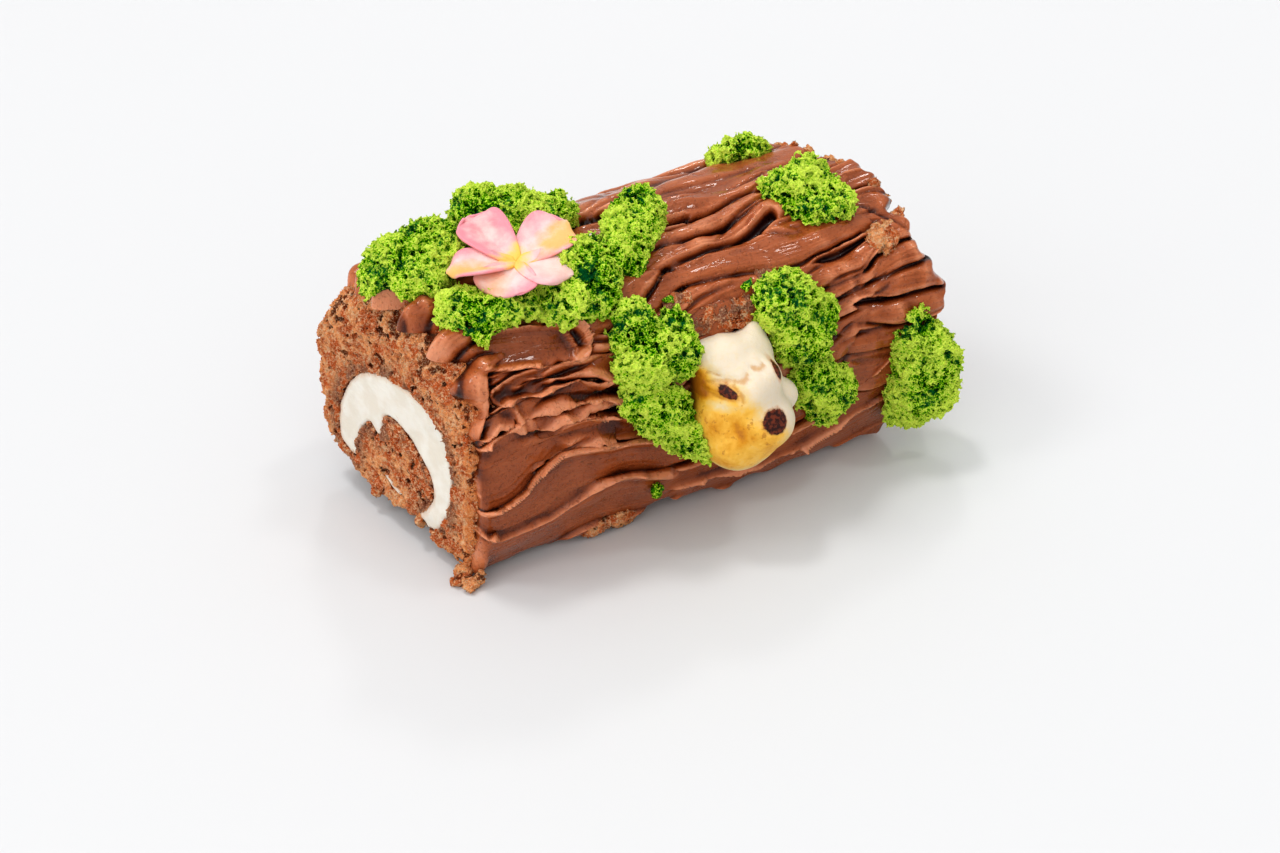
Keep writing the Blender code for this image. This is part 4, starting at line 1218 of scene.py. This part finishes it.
SHRINK, USUAL_SHRINK = {"moss_07": -2.2, "moss_06": -1.6, "moss_12": -1.1}, -0.7
FILLED_OUT = ["moss_06"]
for node in sorted(n for n in frame["nodes"] if n.startswith("moss_")):
    lump = node_field(node, node in FILLED_OUT)
    seed = 700 + int(node[-2:]) * 10
    shrink = SHRINK.get(node, USUAL_SHRINK)
    lump_points, lump_quads, _ = torn(
        lump, shrink, coarse=2.1, middle=1.2, fine=2.4, holes=0.010, hole_size=0.40, seed=seed,
    )
    lump_points, lump_quads = trimmed(lump_points, lump_quads, under_coat(lump_points, 1.0))
    lump_deep = -lump.sample(lump.whole, lump_points)
    tuft_mesh = skin(f"green_{node}", lump_points, lump_quads, moss, False, deep=lump_deep)
    place(tuft_mesh, [node], "moss_sponge")

# %% [markdown]
# ## The bear's head
#
# Meringue is piped in balls that run together, then toasted with a flame:
# ivory where the flame missed, golden on the muzzle and the cheek, brown in
# the folds. The nose and the eyes are dots of burnt sugar. The balls are
# melted into one field, so the joins stay soft, and the toasting follows
# places on the head.

# %% Head shape
HEAD_CENTRE = np.array([9, -46, 47.5])
HEAD_TURN = math.radians(6)
FORWARD = np.array([math.sin(HEAD_TURN), -math.cos(HEAD_TURN), 0])
LEFT = np.array([math.cos(HEAD_TURN), math.sin(HEAD_TURN), 0])
HEAD_BALLS = [
    (0, -1.5, -5, 12.3), (1, -3, -11.6, 13.2), (-2, -1.5, 2, 11.6), (-4, -4, 6, 9),
    (10.5, -0.5, -7.5, 8.8), (5.5, -4, -14.5, 9.2), (6.5, -2, 1.5, 8.2), (5.5, 10.8, -5.5, 4.8),
    (3, -10.5, -6, 5.5), (-4.5, 8, 12.4, 2.8), (-6, -10.5, 11, 3.4), (-3, 5.5, 7, 6), (7.5, 3, 5.5, 4.6),
    (12.5, 3.8, -7, 4.4), (9, -10, -12, 5),
]
MELT = 4.0
FOLDS = [
    [(-12.6, 6.4), (-10.8, 7.5), (-8.4, 8.0), (-6.0, 8.0), (-3.6, 9.3)],
    [(-12.8, 8.6), (-11.4, 9.2), (-10.0, 8.8)], [(-1.4, 10.2), (0.4, 9.8), (2.1, 10.2)],
    [(-13.5, 4.2), (-11.8, 3.0), (-9.6, 3.2)], [(-8.2, 6.8), (-7.4, 5.2), (-7.6, 3.2)],
]
EYES = [(7.3, -10.0, 5.0, 1.85, 2.05), (10.8, 5.4, 8.1, 1.3, 2.4)]
NOSE = (18.2, -0.6, -3.3, 4.1, 3.7)


def head_places(x, y, z):
    """Forward, left and up of points on the head."""
    d = [x - HEAD_CENTRE[0], y - HEAD_CENTRE[1], z - HEAD_CENTRE[2]]
    return d[0] * FORWARD[0] + d[1] * FORWARD[1], d[0] * LEFT[0] + d[1] * LEFT[1], d[2]


def fold_gap(ahead, left, above):
    """Distance across the face to the nearest fold."""
    nearest = np.full(np.broadcast(left, above).shape, 1e3, np.float32)
    for fold in FOLDS:
        for (b0, c0), (b1, c1) in zip(fold, fold[1:]):
            length = (b1 - b0) ** 2 + (c1 - c0) ** 2
            q = np.clip(((left - b0) * (b1 - b0) + (above - c0) * (c1 - c0)) / length, 0, 1)
            nearest = np.minimum(nearest, np.hypot(left - b0 - q * (b1 - b0), above - c0 - q * (c1 - c0)))
    return np.where(ahead > 0, nearest, 1e3)


def head_mesh():
    low, high = (np.array(corner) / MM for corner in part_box("bear_head"))
    block = Block(low - 2, high + 2, 0.6)
    ahead, left, above = head_places(block.x, block.y, block.z)
    for k, (a, b, c, radius) in enumerate(HEAD_BALLS):
        ball = np.sqrt((ahead - a) ** 2 + (left - b) ** 2 + (above - c) ** 2) - radius
        block.field = ball if k == 0 else smoother(block.field, ball, MELT)
    crease = np.exp(-((fold_gap(ahead, left, above) - 0.2) / 0.7) ** 2)
    block.field = block.field + 0.45 * crease + 0.5 * block.rough(5, 81) + 0.22 * block.rough(2.2, 82)
    points, quads = block.surface()
    return points, quads


head_points, head_quads = head_mesh()
print("head of", len(HEAD_BALLS), "balls:", len(head_points), "points")

# %% Where it is toasted
ahead, left, above = head_places(*head_points.T)


def spot(a, b, c, size_left, size_up):
    """1 on a patch of the face, 0 away from it."""
    gap = np.sqrt(((left - b) / size_left) ** 2 + ((above - c) / size_up) ** 2 + ((ahead - a) / 9) ** 2)
    return 1 - gap


eyes = np.maximum(*(spot(*eye) for eye in EYES))
nose = spot(*NOSE)
folds = 1 - np.clip(fold_gap(ahead, left, above), 0, 3)
shade = -left - 0.9 * above
toast = 0.95 * ease(shade, -2.5, 13) - 0.8 * np.clip(spot(7, -12, 0.8, 3.6, 2.4), 0, 1)
toast += 0.8 * ease(-left, 11, 14) * ease(above, 0, 3) * ease(10.5 - above, 0, 2)
toast += 0.5 * np.clip(spot(12, -9.6, -6, 2.0, 5.5), 0, 1) - 0.5 * ease(-above, 17, 22)
toast += 0.35 * np.clip(spot(7, -9, 5, 6, 5), 0, 1)
print("half toasted or more:", round(float((toast > 0.5).mean()), 2), "of its points")

# %% Meringue finish and face
meringue = Finish("toasted_meringue", 0.3, 0.2, (1.0, 0.75, 0.4))
b = meringue.start
toast_flow, eye_flow, nose_flow = b.measured("toast"), b.measured("eyes"), b.measured("nose")
cloudy, skin_grain, drips = b.speckle(7, 3), b.speckle(1.2, 4), b.speckle(2.6, 4, rough=0.65)
patchy_toast = toast_flow * 0.66 + (cloudy - 0.5) * 0.9 * toast_flow.between(0.0, 0.4)
patchy_toast = patchy_toast + (skin_grain - 0.5) * 0.3
shell = patchy_toast.ramp(
    (0.0, (0.74, 0.64, 0.50)), (0.30, (0.80, 0.57, 0.23)), (0.55, (0.85, 0.49, 0.07)),
    (0.8, (0.68, 0.30, 0.012)), (1.0, (0.42, 0.14, 0.008)),
)
streaks = (drips.between(0.58, 0.68) * toast_flow.between(0.15, 0.6)).clamped()
shell = b.tint(streaks * 0.6, shell, (0.40, 0.13, 0.012))
fold_flow = b.measured("folds")
shell = b.tint((fold_flow + (drips - 0.5) * 1.2).between(0.30, 1.0) * 0.6, shell, (0.52, 0.22, 0.02))
ring = (eye_flow + (drips - 0.5) * 0.9).between(-0.5, 0.1)
ring = ring + (nose_flow + (drips - 0.5) * 0.7).between(-0.16, 0.1)
shell = b.tint(ring.clamped() * 0.5, shell, (0.55, 0.20, 0.03))
burnt = b.tint(skin_grain.between(0.42, 0.62), (0.030, 0.004, 0.002), (0.17, 0.030, 0.010))
mask = (eye_flow + (drips - 0.5) * 0.8).between(0.0, 0.2)
mask = mask + (nose_flow + (drips - 0.5) * 0.6).between(0.0, 0.14)
meringue.feed("Base Color", b.tint(mask.clamped(), shell, burnt))
meringue.feed("Roughness", (0.42 + (skin_grain - 0.5) * 0.3).clamped())
meringue.bumpy(skin_grain * 0.35 + drips * 0.5, 0.35)
head = skin("bear_face", head_points, head_quads, meringue, toast=toast, eyes=eyes, nose=nose, folds=folds)
place(head, ["bear_head"], "toasted_meringue")

# %% [markdown]
# ## Sugar flower
#
# Five petals cut from thin sugar paste, each cupped along its middle, ruffled
# at its edge and brushed with pink and yellow dust. A petal is a small grid
# of points bent in code, thickened by Solidify and smoothed by Subdivision.
# Each point remembers how far out and how far across it lies, and the dust
# follows those two numbers.

# %% Petal shapes
THROAT = np.array([-44.7, -13.2, 88.0])
FLOWER_LEAN = math.radians(6)
# direction, length, half width, lift of the tip, cup, twist, where its yellow lies, yellow dust, pink dust
PETALS = [
    (19, 20.5, 12.2, 5.0, 1.8, 0.12, -0.35, 1.1, 0.7),
    (108, 20.5, 10.8, 5.6, 2.6, -0.12, 0.0, 0.05, 1.0),
    (171, 20.5, 10.0, 1.8, 2.0, 0.12, 0.25, 1.1, 0.7),
    (228, 15.5, 12.5, 0.2, 1.4, 0.10, -0.4, 0.45, 0.7),
    (312, 16.5, 13.5, 0.8, 1.4, -0.10, 0.0, 0.15, 0.5),
]
OUT, WIDE = 18, 15


def petal(number, direction, length, half_width, lift, cup, twist, yellow_at, yellow, pink):
    t = np.sin(np.linspace(0, 1, OUT) * math.pi / 2)[:, None] * np.ones(WIDE)
    w = np.linspace(-1, 1, WIDE)[None] * np.ones((OUT, 1))
    outline = (0.06 + 0.94 * t) ** 0.6 * np.sqrt(np.clip(1 - 0.985 * t**5, 0, 1))
    side = w * half_width * outline
    wave = cloud((OUT, WIDE), (5, 4), 90 + number)
    fine_wave = cloud((OUT, WIDE), (2.5, 2.5), 190 + number)
    out = length * (t - 0.10 * t**4 * w**2) + 0.9 * wave * t + 0.3 * fine_wave * t
    groove = 1.3 * np.exp(-((w / 0.11) ** 2)) * (1 - t) * t * 2.2
    rise = lift * t**1.6 + cup * (w**2) * np.sin(math.pi * t) * 0.9 - groove
    rise += 1.3 * wave * t * np.abs(w) + 0.35 * fine_wave * t + twist * side * t
    rise += -1.4 * ease(t, 0.8, 1.0) + 0.14 * number
    a = math.radians(direction)
    x, y = out * math.cos(a) - side * math.sin(a), out * math.sin(a) + side * math.cos(a)
    told = {"out": t, "wide": w, "band": w - yellow_at, "yellow": t * 0 + yellow, "pink": t * 0 + pink}
    return np.stack([x, y, rise], -1).reshape(-1, 3), {key: value.ravel() for key, value in told.items()}


petals = [petal(k, *values) for k, values in enumerate(PETALS)]
flower_points = np.concatenate([p[0] for p in petals])
cos_lean, sin_lean = math.cos(FLOWER_LEAN), math.sin(FLOWER_LEAN)
flower_points = THROAT + np.stack([
    flower_points[:, 0],
    flower_points[:, 1] * cos_lean - flower_points[:, 2] * sin_lean,
    flower_points[:, 1] * sin_lean + flower_points[:, 2] * cos_lean,
], -1)
flower_faces = np.concatenate([sheet_faces(OUT, WIDE) + k * OUT * WIDE for k in range(len(petals))])
print(len(petals), "petals, the flower is", round(float(np.ptp(flower_points[:, 0])), 1), "mm across")

# %% Petal finish and flower
petal_finish = Finish("sugar_petal", 0.35, 0.25, (1.0, 0.6, 0.5))
p = petal_finish.start
out_flow, wide_flow = p.measured("out"), p.measured("wide")
yellow_flow, pink_flow = p.measured("yellow"), p.measured("pink")
dust, veins = p.speckle(4, 3), p.speckle(0.5, 3)
edge_flow = wide_flow * wide_flow
band_flow = p.measured("band")
pink_share = (out_flow * 0.35 + edge_flow * 0.55 + (dust - 0.5) * 1.2 + 0.12) * pink_flow
blush = p.tint(pink_share.between(0.05, 0.75), (0.86, 0.61, 0.58), (0.84, 0.30, 0.35))
yellow_share = (1 - band_flow * band_flow * 2.0) * out_flow.between(0.15, 0.7)
yellow_share = (yellow_share + (dust - 0.5) * 1.4) * yellow_flow
blush = p.tint(yellow_share.clamped() * 0.85, blush, (0.88, 0.46, 0.11))
throat = 1 - (out_flow + (dust - 0.5) * 0.4).between(0.05, 0.30)
blush = p.tint(throat * 0.9, blush, (0.92, 0.56, 0.05))
petal_finish.feed("Base Color", blush)
petal_finish.feed("Roughness", (0.55 + (veins - 0.5) * 0.3).clamped())
petal_finish.bumpy(veins * 0.5 + dust * 0.3, 0.3)
flower = skin(
    "sugar_flower_petals", flower_points, flower_faces, petal_finish,
    **{key: np.concatenate([told[key] for _, told in petals]) for key in petals[0][1]},
)
thicken = flower.modifiers.new("paste", "SOLIDIFY")
thicken.thickness, thicken.offset = 0.9 * MM, 0.0
soften = flower.modifiers.new("soften", "SUBSURF")
soften.levels = soften.render_levels = 1
place(flower, ["sugar_flower"], "sugar_petal")

# %% [markdown]
# ## Crumbs
#
# Torn cake sheds crumbs, and where the knife dragged too hard the sponge
# shows through the frosting. Both are the same crumb field on small beans,
# laid where the log's own surface is, and joined into one mesh per kind.

# %% Bean-sized crumbs
BEAN_GRAIN = 0.65


def on_log(along, girth, lift):
    y, z, ny, nz = section(np.array([girth]))
    return np.array([along, y[0] + lift * ny[0], z[0] + lift * nz[0]]), np.array([0, ny[0], nz[0]])


def bean(centre, normal, length, width, thick, turn, seed):
    """A rough bean lying on a surface."""
    reach = max(length, width, thick) + 1.5
    block = Block(centre - reach, centre + reach, BEAN_GRAIN)
    axis = np.array([1.0, 0, 0])
    over = np.cross(normal, axis)
    along_axis = math.cos(turn) * axis + math.sin(turn) * over
    across_axis = np.cross(normal, along_axis)
    d = [block.x - centre[0], block.y - centre[1], block.z - centre[2]]
    parts = [sum(d[i] * direction[i] for i in range(3)) for direction in (along_axis, across_axis, normal)]
    scaled = np.sqrt((parts[0] / length) ** 2 + (parts[1] / width) ** 2 + (parts[2] / thick) ** 2)
    block.field = ((scaled - 1) * min(length, width, thick)).astype(np.float32)
    return torn(block, 0, 0.5, 0.6, 0.5, 0.12, 0.45, seed, 30)


def crumb_mesh(name, beans, finish, slot, told):
    """All crumbs of one kind as one mesh. Told holds a number a bean for each thing the colour follows."""
    points, quads, stored, offset = [], [], {"deep": []}, 0
    stored.update({key: [] for key in told})
    for k, (centre, normal, size, turn) in enumerate(beans):
        bean_points, bean_quads, deep = bean(centre, normal, *size, turn, 900 + 7 * k)
        if not len(bean_quads):
            continue
        bean_points[:, 2] = np.maximum(bean_points[:, 2], 0.02)
        points.append(bean_points)
        quads.append(bean_quads + offset)
        stored["deep"].append(deep)
        for key, values in told.items():
            stored[key].append(np.full(len(deep), values[k]))
        offset += len(bean_points)
    joined = {key: np.concatenate(values) for key, values in stored.items()}
    return place(skin(name, np.concatenate(points), np.concatenate(quads), finish, **joined), [], slot)


def laid_on_log(rows):
    """Beans from rows of along, girth, lift, size and turn."""
    return [(*on_log(*row[:3]), *row[3:]) for row in rows]


print("bean helpers ready")

# %% Brown crumbs
rng = np.random.default_rng(77)
brown_beans = laid_on_log([
    (5, 68, 0.5, (7, 3.0, 1.5), 0.2), (11, 65.5, 0.4, (6, 3.4, 1.6), -0.2),
    (23, 73, 0.4, (4.6, 3.0, 1.5), 0.5), (19, 68, 0.4, (4.5, 3, 1.5), 0.1),
    (-4, 75, 0.5, (3.6, 1.8, 1.0), 0.1), (66, 75.5, 0.2, (5.0, 4.2, 1.6), 0.4),
    (-34, 3.4, -1.6, (4.2, 2.4, 1.6), 0.2), (-27, 3.8, -1.8, (4.5, 2.6, 1.6), -0.3),
])
# at the foot of the cut: across, up, how far behind the face
for y, z, out in [
    (-38, 1.6, -1.5), (-35, 1.4, -3.5), (-33, 2.2, -0.5), (-39, 3.4, 1.0), (-12, 8.5, 0.5), (10, 6.5, 0.5),
]:
    size = tuple(rng.uniform(1.3, 2.4, 3) * np.array([1.2, 1.0, 0.8]))
    centre = np.array([cut_plane(y, z) + out, y, z])
    brown_beans.append((centre, np.array([0, 0, 1.0]), size, rng.uniform(0, 3)))
# round the far rim
for girth_at in np.linspace(72, 146, 15) + rng.normal(0, 1.5, 15):
    y, z, ny, nz = (value[0] for value in section(np.array([girth_at])))
    inset = rng.uniform(0.8, 3.0)
    y, z = y - inset * ny, z - inset * nz
    centre = np.array([far_plane(y, z) + rng.uniform(-0.6, 1.2), y, z])
    brown_beans.append((centre, np.array([0, ny, nz]), tuple(rng.uniform(0.9, 2.2, 3)), rng.uniform(0, 3)))
# the first few lie deep in the frosting and get painted shade: no orange rim and the dark pressed colour
SHADED_BEANS = 5
unshaded_beans = len(brown_beans) - SHADED_BEANS
crumb_mesh("sponge_crumbs", brown_beans, sponge, "chocolate_sponge", {
    "rim": [-6.0] * SHADED_BEANS + [-2.6] * unshaded_beans,
    "cream_gap": [0.9] * SHADED_BEANS + [9.0] * unshaded_beans,
})

# %% Green crumbs
green_beans = laid_on_log([
    (-17, 15.5, 0.8, (1.7, 1.9, 1.3), 0.2), (17.9, 73.5, 1.6, (1.4, 1.0, 0.9), 0.7),
    (-6, 76, 1.0, (1.2, 0.9, 0.8), 0.1),
])
crumb_mesh("moss_crumbs", green_beans, moss, "moss_sponge", {})

# %% [markdown]
# ## Finish
#
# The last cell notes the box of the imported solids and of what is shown, and
# hands the scene over.

# %% Hand over
shown_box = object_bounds()
triangles = sum(
    sum(len(face.vertices) - 2 for face in o.data.polygons) for o in bpy.data.objects
    if o.type == "MESH" and not o.hide_render
)
print("triangles shown:", triangles)
growth = [[round((b - a) / MM, 1) for a, b in zip(*pair)] for pair in zip(cad_box, shown_box)]
print("box grows by, in mm:", growth)
